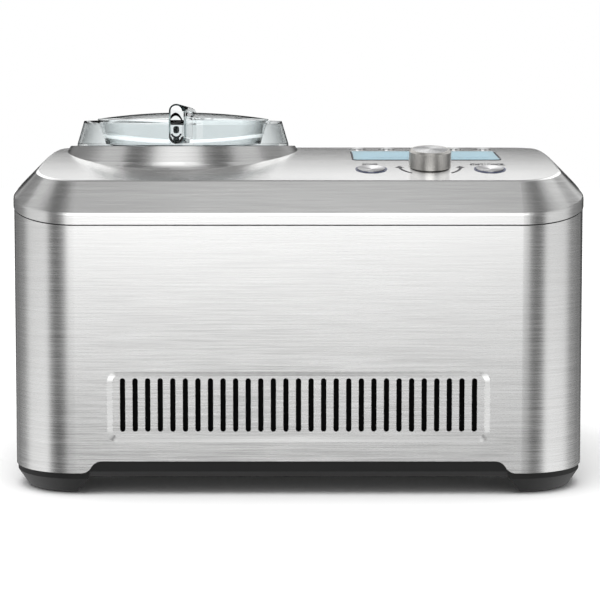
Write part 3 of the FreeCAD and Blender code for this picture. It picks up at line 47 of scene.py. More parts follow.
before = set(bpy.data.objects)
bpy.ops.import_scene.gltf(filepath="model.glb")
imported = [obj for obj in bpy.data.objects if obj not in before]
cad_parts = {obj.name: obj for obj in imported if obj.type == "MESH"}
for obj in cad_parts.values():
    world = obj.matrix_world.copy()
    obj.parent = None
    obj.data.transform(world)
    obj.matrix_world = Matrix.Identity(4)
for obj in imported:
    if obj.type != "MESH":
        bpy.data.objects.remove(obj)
cad_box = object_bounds()


class CasingLook(PropertyGroup):
    """Brushed casing and moulded base."""

    steel: FloatVectorProperty(name="Steel", description="Colour of the brushed casing", subtype="COLOR",
                               default=(0.84, 0.84, 0.835), min=0, max=1)
    steel_shade: FloatVectorProperty(name="Brush shade", description="Colour in the brush lines", subtype="COLOR",
                                     default=(0.75, 0.75, 0.745), min=0, max=1)
    base: FloatVectorProperty(name="Base", description="Colour of the moulded base", subtype="COLOR",
                              default=(0.006, 0.006, 0.006), min=0, max=1)
    brush_pitch: FloatProperty(name="Brush pitch", description="Distance between brush lines", unit="LENGTH",
                               default=0.0007, min=0.0001, max=0.01)
    brush_length: FloatProperty(name="Brush length", description="Length of one brush line", unit="LENGTH",
                                default=0.05, min=0.001, max=0.5)
    # Painted shade: a dark sheet behind the air intake keeps the slots dark.
    filter_width: FloatProperty(name="Shading width", description="Width of the sheet behind the air intake",
                                unit="LENGTH", default=0.262)
    shade_sheet_height: FloatProperty(name="Shading height", description="Height of the sheet behind the air intake",
                                 unit="LENGTH", default=0.054)
    shade_sheet_level: FloatProperty(name="Shading level", description="Height of the sheet's middle above the floor",
                                unit="LENGTH", default=0.0601)
    shade_sheet_front: FloatProperty(name="Shading front", description="Y of the sheet behind the air intake",
                                unit="LENGTH", default=-0.1302)
    shade_sheet_pitch: FloatProperty(name="Shading pitch", description="Distance between two dimples of the sheet",
                                unit="LENGTH", default=0.003)


class LidLook(PropertyGroup):
    """Clear lid, its handle and flap."""

    tint: FloatVectorProperty(name="Tint", description="Tint of the clear plastic", subtype="COLOR",
                              default=(0.905, 0.928, 0.932), min=0, max=1)
    # Painted shade: edge is the deep colour painted on the clear plastic where it turns from the eye.
    edge: FloatVectorProperty(name="Edge", description="Tint where light runs along the plastic", subtype="COLOR",
                              default=(0.022, 0.042, 0.042), min=0, max=1)
    index: FloatProperty(name="Index", description="Index of refraction of the clear plastic", default=1.2,
                         min=1.0, max=2.0)
    handle_index: FloatProperty(name="Handle index", description="Index of refraction of the handle", default=1.03,
                                min=1.0, max=2.0)
    axis: FloatProperty(name="Axis", description="X of the bowl's upright axis", unit="LENGTH", default=-0.0866)
    handle_front: FloatProperty(name="Handle front", description="Y of the handle's front end", unit="LENGTH",
                                default=-0.068)


class PanelLook(PropertyGroup):
    """Control panel marks on the crowned hood."""

    crown_top: FloatProperty(name="Crown height", description="Highest level of the hood's top", unit="LENGTH",
                             default=0.2324)
    crown_radius: FloatProperty(name="Crown radius", description="Radius of the hood's top from front to back",
                                unit="LENGTH", default=0.584)
    crest: FloatProperty(name="Crest", description="Y of the line where the crown becomes level", unit="LENGTH",
                         default=0.0346)
    middle: FloatProperty(name="Middle", description="X of the knob's axis", unit="LENGTH", default=0.0917)
    knob_y: FloatProperty(name="Knob row", description="Y of the knob", unit="LENGTH", default=-0.085)
    button_y: FloatProperty(name="Button row", description="Y of the two main buttons", unit="LENGTH",
                            default=-0.091)
    button_spread: FloatProperty(name="Button spread", description="From the knob to a main button", unit="LENGTH",
                                 default=0.0412)
    arrow_radius: FloatProperty(name="Arrow radius", description="Radius of the turning arrows", unit="LENGTH",
                                default=0.0212)
    window_y: FloatProperty(name="Window row", description="Y of the display's middle", unit="LENGTH", default=-0.0385)
    window_width: FloatProperty(name="Window width", description="Width of the display", unit="LENGTH", default=0.105)
    window_length: FloatProperty(name="Window length", description="Front-to-back length of the display",
                                 unit="LENGTH", default=0.044)
    lift: FloatProperty(name="Print lift", description="Thickness of the printed marks", unit="LENGTH",
                        default=0.00008)
    ink: FloatVectorProperty(name="Ink", description="Colour of the printed marks", subtype="COLOR",
                             default=(0.03, 0.03, 0.035), min=0, max=1)
    screen: FloatVectorProperty(name="Screen", description="Colour of the lit display", subtype="COLOR",
                                default=(0.53, 0.74, 0.83), min=0, max=1)


class StageLook(PropertyGroup):
    """Floor, light and camera."""

    distance: FloatProperty(name="Distance", description="Camera to the front of the casing", unit="LENGTH",
                            default=1.0135)
    height: FloatProperty(name="Height", description="Camera above the floor", unit="LENGTH", default=0.2407)
    lens: FloatProperty(name="Lens", description="Focal length in millimetres on a 36 mm sensor", default=91.4)
    pitch: FloatProperty(name="Pitch", description="Downward tilt of the camera", unit="ROTATION",
                         default=math.radians(3.4))
    floor: FloatVectorProperty(name="Floor", description="Colour of the floor", subtype="COLOR",
                               default=(0.92, 0.92, 0.92), min=0, max=1)
    sky: FloatProperty(name="Soft light", description="Strength of the even light from all round", default=0.54)
    mirror: FloatProperty(name="Mirrored light", description="Strength of the cards that the steel mirrors",
                          default=2.25)
    sun: FloatProperty(name="Overhead light", description="Strength of the broad light from above", default=2.6)


# Meshes worked out on grids

FULL_TURN = 2.0 * math.pi


def grid_faces(rows, columns, wrap=False):
    """Quads of a grid numbered row by row; wrap joins the last column to the first."""
    r = np.arange(rows - 1)[:, None]
    c = np.arange(columns if wrap else columns - 1)[None, :]
    nxt = (c + 1) % columns
    quads = np.stack([r * columns + c, r * columns + nxt, (r + 1) * columns + nxt, (r + 1) * columns + c], axis=-1)
    return quads.reshape(-1, 4)


def put_mesh(name, points, faces, smooth=True, caps=()):
    """Mesh object at the origin from whole arrays of points and faces, with flat caps on open ends."""
    mesh = bpy.data.meshes.new(name)
    mesh.from_pydata(points.reshape(-1, 3), [], faces.tolist() + [cap.tolist() for cap in caps])
    mesh.polygons.foreach_set("use_smooth", np.full(len(mesh.polygons), smooth))
    mesh.update()
    obj = bpy.data.objects.new(name, mesh)
    bpy.context.scene.collection.objects.link(obj)
    return obj


def dress(obj, material, body):
    """Gives a new piece its finish and the body it rides on."""
    obj.data.materials.clear()
    obj.data.materials.append(material)
    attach(obj, body)


def finish_nodes(material, *names):
    """Puts one finish on CAD nodes."""
    for name in names:
        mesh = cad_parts[name].data
        mesh.materials.clear()
        mesh.materials.append(material)


def crown(look, y):
    """Height of the hood's top: an arc that rises to its crest and stays level behind it."""
    run = np.maximum(0.0, look.crest - y)
    return look.crown_top - look.crown_radius + np.sqrt(look.crown_radius ** 2 - run ** 2)


def crown_normal(look, y):
    """Upward normal of the hood's top, as Y and Z parts."""
    lean = np.maximum(0.0, look.crest - y) / look.crown_radius
    return -lean, np.sqrt(1.0 - lean ** 2)


def on_crown(look, x, y, lift):
    """Points of a flat drawing laid on the hood's top and raised by lift along its normal."""
    ny, nz = crown_normal(look, y)
    return np.stack(np.broadcast_arrays(x, y + lift * ny, crown(look, y) + lift * nz), axis=-1)


def thicken(obj, thickness):
    """Gives a sheet its thickness, into the surface that carries it."""
    solid = obj.modifiers.new("thickness", "SOLIDIFY")
    solid.thickness = thickness
    solid.offset = -1.0


# Shader parts

BLACK = (0.0, 0.0, 0.0, 1.0)
WHITE = (1.0, 1.0, 1.0, 1.0)
NOISE_SPAN = (0.3, 0.7)  # part of a noise's range that is drawn out to 0..1
MARK_SPAN = (0.45, 0.75)  # the same for handling marks
STEEL_SMEAR, PLASTIC_SMEAR, CLEAR_SMEAR = 0.04, 0.05, 0.03  # roughness that handling marks add
BUMP_DEPTH = 0.0002  # metres of height in a full bump
BRUSH_BUMP, METAL_BUMP = 0.03, 0.06  # strength of the bump
BRUSHED_PULL, SPUN_PULL = 0.65, 0.8  # how far the highlight is drawn out
ALONG, ACROSS = 0.0, 0.25  # turn of a drawn-out highlight
TOP_SLOPE = (0.55, 0.75)  # upward part of the normal where a wall becomes a top
GROOVES = (900.0, 900.0, 900.0)  # fineness of the grooves in turned metal
# Turned metal round a centre gets a painted highlight: bright and dark fans in its colour
PAINTED_FAN_PHASE = -2.0  # radians by which the painted highlight fans are set round
GROOVE_SHARE, PAINTED_FAN_SHARE = 0.25, 0.75  # parts of grooves and of the painted highlight fans in the tone of turned metal


def linear(r, g, b):
    """Display values from 0 to 255 as a linear colour."""
    def one(v):
        v = v / 255.0
        return v / 12.92 if v <= 0.04045 else ((v + 0.055) / 1.055) ** 2.4
    return (one(r), one(g), one(b), 1.0)


def four(colour, factor=1.0):
    """Colour property with its alpha, made lighter or darker by a factor."""
    return tuple(factor * part for part in colour) + (1.0,)


def grey(level):
    """Grey colour of one level."""
    return (level, level, level, 1.0)


class Shade:
    """Small helper that adds nodes to one tree and feeds their sockets."""

    def __init__(self, tree):
        self.tree = tree

    def put(self, value, socket):
        """Joins an output socket to an input socket, or sets that to a number or colour."""
        if isinstance(value, bpy.types.NodeSocket):
            self.tree.links.new(value, socket)
        else:
            socket.default_value = value

    def feed(self, node, **values):
        """Puts values into a node's sockets by name; an underscore stands for a space."""
        for key, value in values.items():
            self.put(value, node.inputs[key.replace("_", " ")])

    def add(self, kind, **settings):
        """Adds a node; keys with a capital are sockets, the rest are node settings."""
        node = self.tree.nodes.new(kind)
        for key, value in settings.items():
            if key[0].isupper():
                self.feed(node, **{key: value})
            else:
                setattr(node, key, value)
        return node

    def math(self, operation, *values):
        """Math node on sockets or numbers."""
        node = self.add("ShaderNodeMath", operation=operation)
        for value, socket in zip(values, node.inputs):
            self.put(value, socket)
        return node.outputs[0]

    def product(self, *factors):
        """Product of sockets or numbers."""
        value = factors[0]
        for factor in factors[1:]:
            value = self.math("MULTIPLY", value, factor)
        return value

    def apart(self, value, place):
        """Distance of a value from a place."""
        return self.math("ABSOLUTE", self.math("SUBTRACT", value, place))

    def span(self, value, low, high, start=0.0, end=1.0):
        """Maps a value from start..end to low..high."""
        node = self.add("ShaderNodeMapRange", Value=value, From_Min=start, From_Max=end, To_Min=low, To_Max=high)
        return node.outputs["Result"]

    def fade_in(self, value, start, end):
        """0 up to start and 1 from end on."""
        return self.span(value, 0.0, 1.0, start, end)

    def fade_out(self, value, start, end):
        """1 up to start and 0 from end on."""
        return self.span(value, 1.0, 0.0, start, end)

    def mix(self, factor, a, b, blend_type="MIX"):
        """Mixes two colours, each a socket or a colour."""
        node = self.add("ShaderNodeMix", data_type="RGBA", blend_type=blend_type)
        for value, place in ((factor, 0), (a, 6), (b, 7)):
            self.put(value, node.inputs[place])
        return node.outputs[2]

    def blend(self, factor, a, b):
        """Mixes two values."""
        node = self.add("ShaderNodeMix", data_type="FLOAT")
        for value, place in ((factor, 0), (a, 2), (b, 3)):
            self.put(value, node.inputs[place])
        return node.outputs[0]

    def split(self, vector):
        """X, Y and Z of a vector socket."""
        return tuple(self.add("ShaderNodeSeparateXYZ", Vector=vector).outputs)

    def ramp(self, value, stops):
        """Grey ramp through (place, level) stops, eased between them."""
        node = self.add("ShaderNodeValToRGB", Fac=value)
        node.color_ramp.interpolation = "EASE"
        elements = node.color_ramp.elements
        while len(elements) < len(stops):
            elements.new(0.5)
        for element, (place, level) in zip(elements, stops):
            element.position = place
            element.color = grey(level)
        return node.outputs["Color"]


def shader_group(name, inputs, outputs):
    """Empty shader group with named sockets, and its helper, input node and output node."""
    tree = bpy.data.node_groups.new(name, "ShaderNodeTree")
    for socket, kind in inputs:
        tree.interface.new_socket(socket, in_out="INPUT", socket_type=kind)
    for socket, kind in outputs:
        tree.interface.new_socket(socket, in_out="OUTPUT", socket_type=kind)
    shade = Shade(tree)
    return tree, shade, shade.add("NodeGroupInput"), shade.add("NodeGroupOutput")


def brushing_group():
    """Fine lines: noise squeezed across the lines and drawn out along them."""
    tree, shade, inside, outside = shader_group(
        "brush_lines", [("Vector", "NodeSocketVector"), ("Stretch", "NodeSocketVector")],
        [("Lines", "NodeSocketFloat")])
    scaled = shade.add("ShaderNodeVectorMath", operation="MULTIPLY")
    shade.put(inside.outputs["Vector"], scaled.inputs[0])
    shade.put(inside.outputs["Stretch"], scaled.inputs[1])
    noise = shade.add("ShaderNodeTexNoise", Vector=scaled.outputs[0], Scale=1.0, Detail=4.0, Roughness=0.65)
    shade.feed(outside, Lines=shade.fade_in(noise.outputs["Fac"], *NOISE_SPAN))
    return tree


def grain_group():
    """Moulded or cast grain: small cells for height and slow drifts for tone."""
    tree, shade, inside, outside = shader_group(
        "moulded_grain", [("Vector", "NodeSocketVector"), ("Fineness", "NodeSocketFloat")],
        [("Height", "NodeSocketFloat"), ("Tone", "NodeSocketFloat")])
    place = inside.outputs["Vector"]
    cells = shade.add("ShaderNodeTexNoise", Vector=place, Scale=inside.outputs["Fineness"], Detail=2.0)
    drift = shade.add("ShaderNodeTexNoise", Vector=place, Scale=24.0, Detail=3.0)
    shade.feed(outside, Height=cells.outputs["Fac"], Tone=shade.fade_in(drift.outputs["Fac"], *NOISE_SPAN))
    return tree


def handling_group():
    """Faint wiped patches that touching leaves on a smooth surface."""
    tree, shade, inside, outside = shader_group(
        "handling_marks", [("Vector", "NodeSocketVector")], [("Mask", "NodeSocketFloat")])
    patches = shade.add("ShaderNodeTexNoise", Vector=inside.outputs["Vector"], Scale=9.0, Detail=4.0, Distortion=0.6)
    shade.feed(outside, Mask=shade.fade_in(patches.outputs["Fac"], *MARK_SPAN))
    return tree


def effect_on(shade, coordinates, name, maker, **values):
    """Outputs of a shared effect over a material's object coordinates; its group is made once."""
    tree = bpy.data.node_groups.get(name) or maker()
    return shade.add("ShaderNodeGroup", node_tree=tree, Vector=coordinates.outputs["Object"], **values).outputs


def lines_on(shade, coordinates, stretch):
    """Brush lines over a material's object coordinates."""
    return effect_on(shade, coordinates, "brush_lines", brushing_group, Stretch=stretch)["Lines"]


def marks_on(shade, coordinates):
    """Handling marks over a material's object coordinates."""
    return effect_on(shade, coordinates, "handling_marks", handling_group)["Mask"]


def grain_on(shade, coordinates, fineness):
    """Grain height and tone over a material's object coordinates."""
    outputs = effect_on(shade, coordinates, "moulded_grain", grain_group, Fineness=fineness)
    return outputs["Height"], outputs["Tone"]


def surface(name):
    """New material with its helper, its surface shader and its object coordinates."""
    material = bpy.data.materials.new(name)
    material.use_nodes = True
    shade = Shade(material.node_tree)
    shader = material.node_tree.nodes["Principled BSDF"]
    coordinates = shade.add("ShaderNodeTexCoord")
    return material, shade, shader, coordinates


def from_axis(shade, coordinates, centre):
    """X and Y measured from an upright axis, and Z."""
    x, y, z = shade.split(coordinates.outputs["Object"])
    return shade.math("SUBTRACT", x, centre[0]), shade.math("SUBTRACT", y, centre[1]), z


def raise_by(shade, shader, height, strength):
    """Bump from a height."""
    bump = shade.add("ShaderNodeBump", Strength=strength, Distance=BUMP_DEPTH, Height=height)
    shade.feed(shader, Normal=bump.outputs["Normal"])


def draw_out(shade, shader, amount, axis):
    """Metal whose highlight is drawn out round an axis."""
    tangent = shade.add("ShaderNodeTangent", direction_type="RADIAL", axis=axis)
    shade.feed(shader, Metallic=1.0, Anisotropic=amount, Tangent=tangent.outputs[0])


def brushed_steel(name, light, dark, stretches, rough, axis, turn, stretch_top=None):
    """Brushed sheet: lines in tone, gloss and height, and a highlight drawn out across them."""
    material, shade, shader, coordinates = surface(name)
    lines = lines_on(shade, coordinates, stretches)
    if stretch_top is not None:
        _, _, upward = shade.split(coordinates.outputs["Normal"])
        share = shade.fade_in(shade.math("ABSOLUTE", upward), *TOP_SLOPE)
        lines = shade.blend(share, lines, lines_on(shade, coordinates, stretch_top))
    smear = shade.product(marks_on(shade, coordinates), STEEL_SMEAR)
    shade.feed(shader, Base_Color=shade.mix(lines, dark, light), Anisotropic_Rotation=turn,
               Roughness=shade.math("ADD", shade.span(lines, *rough), smear))
    draw_out(shade, shader, BRUSHED_PULL, axis)
    raise_by(shade, shader, lines, BRUSH_BUMP)
    return material


def spun_metal(name, light, dark, rough, centre=None):
    """Turned metal with fine grooves; round a centre its colour gets the two bright fans, cos(2 angle), that such
    grooves mirror, as a painted highlight.
    """
    material, shade, shader, coordinates = surface(name)
    lines = lines_on(shade, coordinates, GROOVES)
    tone = lines
    if centre is not None:
        x, y, _ = from_axis(shade, coordinates, centre)
        # painted highlight: fans of light and dark in the base colour round the centre
        twice = shade.product(shade.math("ARCTAN2", y, x), 2.0)
        fans = shade.math("COSINE", shade.math("ADD", twice, PAINTED_FAN_PHASE))
        tone = shade.math("ADD", shade.product(lines, GROOVE_SHARE), shade.span(fans, 0.0, PAINTED_FAN_SHARE, -1.0, 1.0))
    shade.feed(shader, Base_Color=shade.mix(tone, dark, light), Roughness=shade.span(lines, *rough))
    draw_out(shade, shader, SPUN_PULL, "Z")
    return material


def paint_reflection_glow(material, centre, skin, heights, level):
    """Paints a glow on a round piece that only glossy rays see, so its reflection in the steel fades with height: its
    skin is lightened to the top.
    """
    shade = Shade(material.node_tree)
    shader = material.node_tree.nodes["Principled BSDF"]
    x, y, z = from_axis(shade, shade.add("ShaderNodeTexCoord"), centre)
    radius = shade.math("SQRT", shade.math("ADD", shade.product(x, x), shade.product(y, y)))
    path = shade.add("ShaderNodeLightPath")
    share = shade.product(shade.fade_in(radius, *skin), shade.fade_in(z, *heights), path.outputs["Is Glossy Ray"])
    shade.feed(shader, Emission_Color=shade.mix(share, BLACK, grey(level)), Emission_Strength=1.0)


def plain_metal(name, light, dark, rough, fineness):
    """Cast, drawn or plated metal with a fine uneven surface."""
    material, shade, shader, coordinates = surface(name)
    height, tone = grain_on(shade, coordinates, fineness)
    shade.feed(shader, Base_Color=shade.mix(tone, dark, light), Roughness=shade.span(tone, *rough), Metallic=1.0)
    raise_by(shade, shader, height, METAL_BUMP)
    return material


def moulded(name, light, dark, rough, fineness, bump=0.2, specular=0.5):
    """Plastic, rubber or paint with grain in height and drifts in tone and gloss."""
    material, shade, shader, coordinates = surface(name)
    height, tone = grain_on(shade, coordinates, fineness)
    smear = shade.product(marks_on(shade, coordinates), PLASTIC_SMEAR)
    shade.feed(shader, Base_Color=shade.mix(tone, dark, light), Specular_IOR_Level=specular,
               Roughness=shade.math("ADD", shade.span(tone, *rough), smear))
    raise_by(shade, shader, height, bump)
    return material


def clear_plastic(name, index, rough):
    """Clear moulded plastic with faint handling marks, and how far each point turns from the eye."""
    material, shade, shader, coordinates = surface(name)
    gloss = shade.span(marks_on(shade, coordinates), rough, rough + CLEAR_SMEAR)
    shade.feed(shader, Transmission_Weight=1.0, IOR=index, Roughness=gloss)
    weight = shade.add("ShaderNodeLayerWeight", Blend=0.5)
    return material, shade, shader, coordinates, weight.outputs["Facing"]


def deepen(shade, shader, look, depth):
    """Colour of clear plastic with painted shade: pale where light passes straight through, deep where light runs
    along the wall.
    """
    shade.feed(shader, Base_Color=shade.mix(depth, four(look.tint), four(look.edge)))


# Casing

# Dark sheet that stands for the shade inside the slots
SHADE_SHEET_SWELL = 0.0003  # metres, height of the dimples
SHADE_SHEET_THICKNESS = 0.0005  # metres, thickness
SHADE_SHEET_GRID = (73, 351)  # points up and across


class ICECREAM_OT_casing(Operator):
    """Brushed steel on hood, wrap and grille, black moulded base and rubber pads"""

    bl_idname = "icecream.casing"
    bl_label = "Casing"

    def execute(self, context):
        look = context.scene.ice_casing
        light = four(look.steel)
        dark = four(look.steel_shade)
        fine = 1.0 / look.brush_pitch
        slow = 1.0 / look.brush_length
        wrap = brushed_steel("wrap_steel", light, dark, (slow, slow, fine), (0.19, 0.29), "Z", ACROSS)
        finish_nodes(wrap, "body_wrap", "vent_grille")
        hood = brushed_steel("hood_steel", light, dark, (slow, slow, fine), (0.17, 0.26), "X", ALONG,
                             stretch_top=(slow, fine, slow))
        finish_nodes(hood, "hood", "collar_liner")
        plate = plain_metal("zinc_plate", linear(196, 198, 200), linear(170, 172, 176), (0.32, 0.45), 900.0)
        finish_nodes(plate, "rear_panel", "chassis_plate")
        base = moulded("base_plastic", four(look.base, 1.5), four(look.base), (0.45, 0.55), 2600.0, 0.25, 0.3)
        finish_nodes(base, "base_tray", "cord_gland", "gearbox_housing", "gearbox_cover", "chamber_posts",
                     "fan_shroud", "fan_blades")
        rubber = moulded("rubber_pads", linear(38, 38, 38), linear(24, 24, 24), (0.6, 0.75), 1500.0, 0.3, 0.3)
        finish_nodes(rubber, "foot_pads", "seam_gasket", "compressor_grommets", "shaft_seal")
        screws = plain_metal("screw_steel", linear(190, 190, 190), linear(150, 150, 152), (0.25, 0.4), 1400.0)
        finish_nodes(screws, "rear_screws", "base_screws", "board_screws", "lid_hinge_pin", "idler_pin",
                     "drive_shaft", "motor_pinion", "encoder_shaft")
        self.intake_shade_sheet(look)
        return {"FINISHED"}

    def intake_shade_sheet(self, look):
        """Dark dimpled sheet behind the slots, painted shade that keeps them dark: depth = front + swell * (1 + sin(2
        pi x / pitch) sin(2 pi z / pitch)).
        """
        rows, columns = SHADE_SHEET_GRID
        across = np.linspace(-look.filter_width / 2, look.filter_width / 2, columns)
        upward = look.shade_sheet_level + np.linspace(-look.shade_sheet_height / 2, look.shade_sheet_height / 2, rows)
        z, x = np.meshgrid(upward, across, indexing="ij")
        turn = FULL_TURN / look.shade_sheet_pitch
        y = look.shade_sheet_front + SHADE_SHEET_SWELL * (1.0 + np.sin(turn * x) * np.sin(turn * z))
        obj = put_mesh("intake_shade_sheet", np.stack([x, y, z], axis=-1), grid_faces(rows, columns))
        thicken(obj, SHADE_SHEET_THICKNESS)
        mesh = moulded("painted_shade_sheet", linear(16, 16, 16), linear(8, 8, 8), (0.8, 0.9), 1500.0, 0.2, 0.05)
        dress(obj, mesh, "housing")


# Lid: lengths in metres, turning from the eye and slope from 0 to 1

# Painted shade: these masks colour the clear plastic deep where light would run along it.
LAND_SLOPE = (0.8, 0.9)  # upward part of the normal where a wall becomes level
WALL_TURN = (0.33, 1.0)  # painted shade on the walls deepens over this turning
CREST_TURN, CREST_HEIGHT = (0.928, 0.94), (0.2540, 0.2545)  # painted dark line along the top of the dome
END_TURN, END_ASIDE = (0.9, 0.96), (0.056, 0.064)  # painted dark ends of the land
GRIP_TURN, GRIP_FRONT = (0.35, 0.8), (-0.046, -0.040)  # painted dark sides of the handle's front end
GRIP_BACK = 0.25  # share of that behind the front end
LID_ROUGH, GRIP_ROUGH = 0.02, 0.03
# Bands: name, side, gap to the lid's middle, body
CAP_BANDS = (("cap_band_left", -1.0, 0.0057, "lid"), ("cap_band_right", 1.0, 0.0088, "flap"))
BAND_RADIUS, BAND_LEVEL = 0.0574, 0.2377  # the band at its lowest
BAND_DIP, BAND_FLARE = 0.0046, 0.32  # rise at the sides, growth of the radius with height
BAND_THICK, BAND_TALL = 0.0008, 0.0012  # half axes of its section
BAND_STEPS, BAND_SIDES = 121, 16
# strength of the bands' painted glow, so that they show white inside the clear cap
BAND_GLOW = 1.1
# Plugs and hooks: name, level, then half sides, or radii and the angles of both ends
PLUGS = (("handle_catch", 0.2461, (0.0021, 0.0026)), ("handle_latch", 0.2394, (0.0022, 0.0017)))
PLUG_STEPS, PLUG_ROUND, PLUG_RISE = 15, 0.35, 0.0004
OUTLINE_LEVEL, OUTLINE_HALF = 0.2503, 0.0090
OUTLINE_RADII, OUTLINE_REACH = (0.0052, 0.0046, 0.0040), (0.001, FULL_TURN - 0.001)
OUTLINE_ENDS, OUTLINE_RIGHT = (0.005, 0.008), (0.001, 0.003)  # where painted shade deepens the outline, from its middle
HOOKS = (("handle_hook", 0.2441, (0.0040, 0.0034, 0.0027), (1.08 * math.pi, 1.92 * math.pi)),
         ("handle_root", 0.2412, (0.0042, 0.0038, 0.0033), (1.02 * math.pi, 1.98 * math.pi)))
LINE_STEPS, LINE_RISE = 96, 0.0005
MARK_SHEET = 0.0003  # thickness of plugs and lines


class ICECREAM_OT_lid(Operator):
    """Clear plastic with painted shade on the lid's shell, flap and handle, its soft seal, white edge bands with a
    painted glow and moulded marks
    """

    bl_idname = "icecream.lid"
    bl_label = "Lid"

    def execute(self, context):
        look = context.scene.ice_lid
        finish_nodes(self.shell_plastic(look), "lid_shell", "lid_flap")
        finish_nodes(self.grip_plastic(look), "lid_handle")
        soft = moulded("soft_seal", linear(222, 226, 226), linear(205, 210, 210), (0.45, 0.55), 900.0, 0.1)
        finish_nodes(soft, "lid_seal", "chamber_seal")
        # Painted light: the bands glow, so that they show white inside the clear cap.
        white = moulded("band_painted_glow", linear(252, 254, 254), linear(246, 250, 250), (0.3, 0.4), 900.0, 0.02)
        Shade(white.node_tree).feed(white.node_tree.nodes["Principled BSDF"], Emission_Color=four(look.tint),
                                    Emission_Strength=BAND_GLOW)
        for name, side, gap, body in CAP_BANDS:
            self.band(look, white, name, side, gap, body)
        # Painted shade: the plugs and hook lines are coloured deep teal, as dark marks in the clear handle.
        deep = moulded("catch_painted_shade", linear(30, 42, 42), linear(18, 28, 28), (0.5, 0.6), 900.0, 0.02, 0.1)
        for name, level, half in PLUGS:
            self.plug(look, deep, name, level, half)
        self.line(look, self.rim_plastic(look), "handle_outline", OUTLINE_LEVEL, OUTLINE_HALF, OUTLINE_RADII,
                  OUTLINE_REACH)
        for name, level, radii, reach in HOOKS:
            self.line(look, deep, name, level, 0.0, radii, reach)
        return {"FINISHED"}

    def shell_plastic(self, look):
        """Lid plastic with painted shade: deep along the ends of its upright walls, on the crest of the dome and at
        the land's ends.
        """
        material, shade, shader, coordinates, facing = clear_plastic("lid_clear", look.index, LID_ROUGH)
        x, _, z = shade.split(coordinates.outputs["Object"])
        _, _, upward = shade.split(coordinates.outputs["Normal"])
        level = shade.fade_in(shade.math("ABSOLUTE", upward), *LAND_SLOPE)
        walls = shade.fade_in(facing, *WALL_TURN)
        crest = shade.product(shade.fade_in(facing, *CREST_TURN), shade.fade_in(z, *CREST_HEIGHT))
        ends = shade.product(shade.fade_in(facing, *END_TURN), shade.fade_in(shade.apart(x, look.axis), *END_ASIDE))
        deepen(shade, shader, look, shade.blend(level, walls, shade.math("MAXIMUM", crest, ends)))
        return material

    def grip_plastic(self, look):
        """Handle plastic with painted shade: deep along the sides of its front end."""
        material, shade, shader, coordinates, facing = clear_plastic("handle_clear", look.handle_index, GRIP_ROUGH)
        _, y, _ = shade.split(coordinates.outputs["Object"])
        near = shade.span(y, 1.0, GRIP_BACK, *GRIP_FRONT)
        deepen(shade, shader, look, shade.product(near, shade.fade_in(facing, *GRIP_TURN)))
        return material

    def rim_plastic(self, look):
        """Plastic of the handle's outline with painted shade: deep at both ends and down the right side, pale on the
        left.
        """
        material, shade, shader, coordinates = surface("outline_painted_shade")
        x, _, z = shade.split(coordinates.outputs["Object"])
        away = shade.fade_in(shade.apart(z, OUTLINE_LEVEL), *OUTLINE_ENDS)
        right = shade.fade_in(x, *(look.axis + offset for offset in OUTLINE_RIGHT))
        depth = shade.math("MAXIMUM", away, right)
        shade.feed(shader, Base_Color=shade.mix(depth, linear(196, 214, 214), linear(26, 38, 38)),
                   Roughness=shade.span(marks_on(shade, coordinates), 0.4, 0.5), Specular_IOR_Level=0.15)
        return material

    def band(self, look, material, name, side, gap, body):
        """White edge band in the cap's wall with a painted glow: z = level + dip * cos^2(t), radius growing with z,
        elliptic section.
        """
        reach = math.acos(gap / BAND_RADIUS)
        t = np.linspace(-reach, reach, BAND_STEPS)[:, None]
        turn = np.linspace(0.0, FULL_TURN, BAND_SIDES, endpoint=False)[None, :]
        level = BAND_LEVEL + BAND_DIP * np.cos(t) ** 2 + BAND_TALL * np.sin(turn)
        radius = BAND_RADIUS + (level - BAND_LEVEL) * BAND_FLARE + BAND_THICK * np.cos(turn)
        points = np.stack([look.axis + side * radius * np.cos(t), radius * np.sin(t), level], axis=-1)
        faces = grid_faces(BAND_STEPS, BAND_SIDES, wrap=True)
        first = np.arange(BAND_SIDES)
        last = first + (BAND_STEPS - 1) * BAND_SIDES
        caps = (first[::-1], last)
        if side > 0:
            faces = faces[:, ::-1]
            caps = (first, last[::-1])
        dress(put_mesh(name, points, faces, caps=caps), material, body)

    def plug(self, look, material, name, level, half):
        """Small plug in the handle's end: a square grid u, v with x = a u sqrt(1 - k v^2), z = b v sqrt(1 - k u^2).

        Its front is y = end - rise (1 - u^4)(1 - v^4).
        """
        side = np.linspace(-1.0, 1.0, PLUG_STEPS)
        v, u = np.meshgrid(side, side, indexing="ij")
        x = look.axis + half[0] * u * np.sqrt(1.0 - PLUG_ROUND * v ** 2)
        z = level + half[1] * v * np.sqrt(1.0 - PLUG_ROUND * u ** 2)
        y = look.handle_front - PLUG_RISE * (1.0 - u ** 4) * (1.0 - v ** 4)
        self.mark(name, np.stack([x, y, z], axis=-1), material)

    def line(self, look, material, name, level, half, radii, reach):
        """Moulded line on the handle's end, raised along its middle.

        It is a capsule, (r cos t, half sign(sin t) + r sin t), or a part of one.
        """
        t = np.linspace(*reach, LINE_STEPS)[None, :]
        radius = np.array(radii)[:, None]
        x = look.axis + radius * np.cos(t)
        z = level + half * np.sign(np.sin(t)) + radius * np.sin(t)
        y = np.broadcast_to(look.handle_front - np.array([0.0, LINE_RISE, 0.0])[:, None], x.shape)
        self.mark(name, np.stack([x, y, z], axis=-1), material)

    def mark(self, name, points, material):
        """Grid of points on the handle's end as a thin piece that lifts with the lid."""
        obj = put_mesh(name, points, grid_faces(*points.shape[:2]))
        thicken(obj, MARK_SHEET)
        dress(obj, material, "lid")


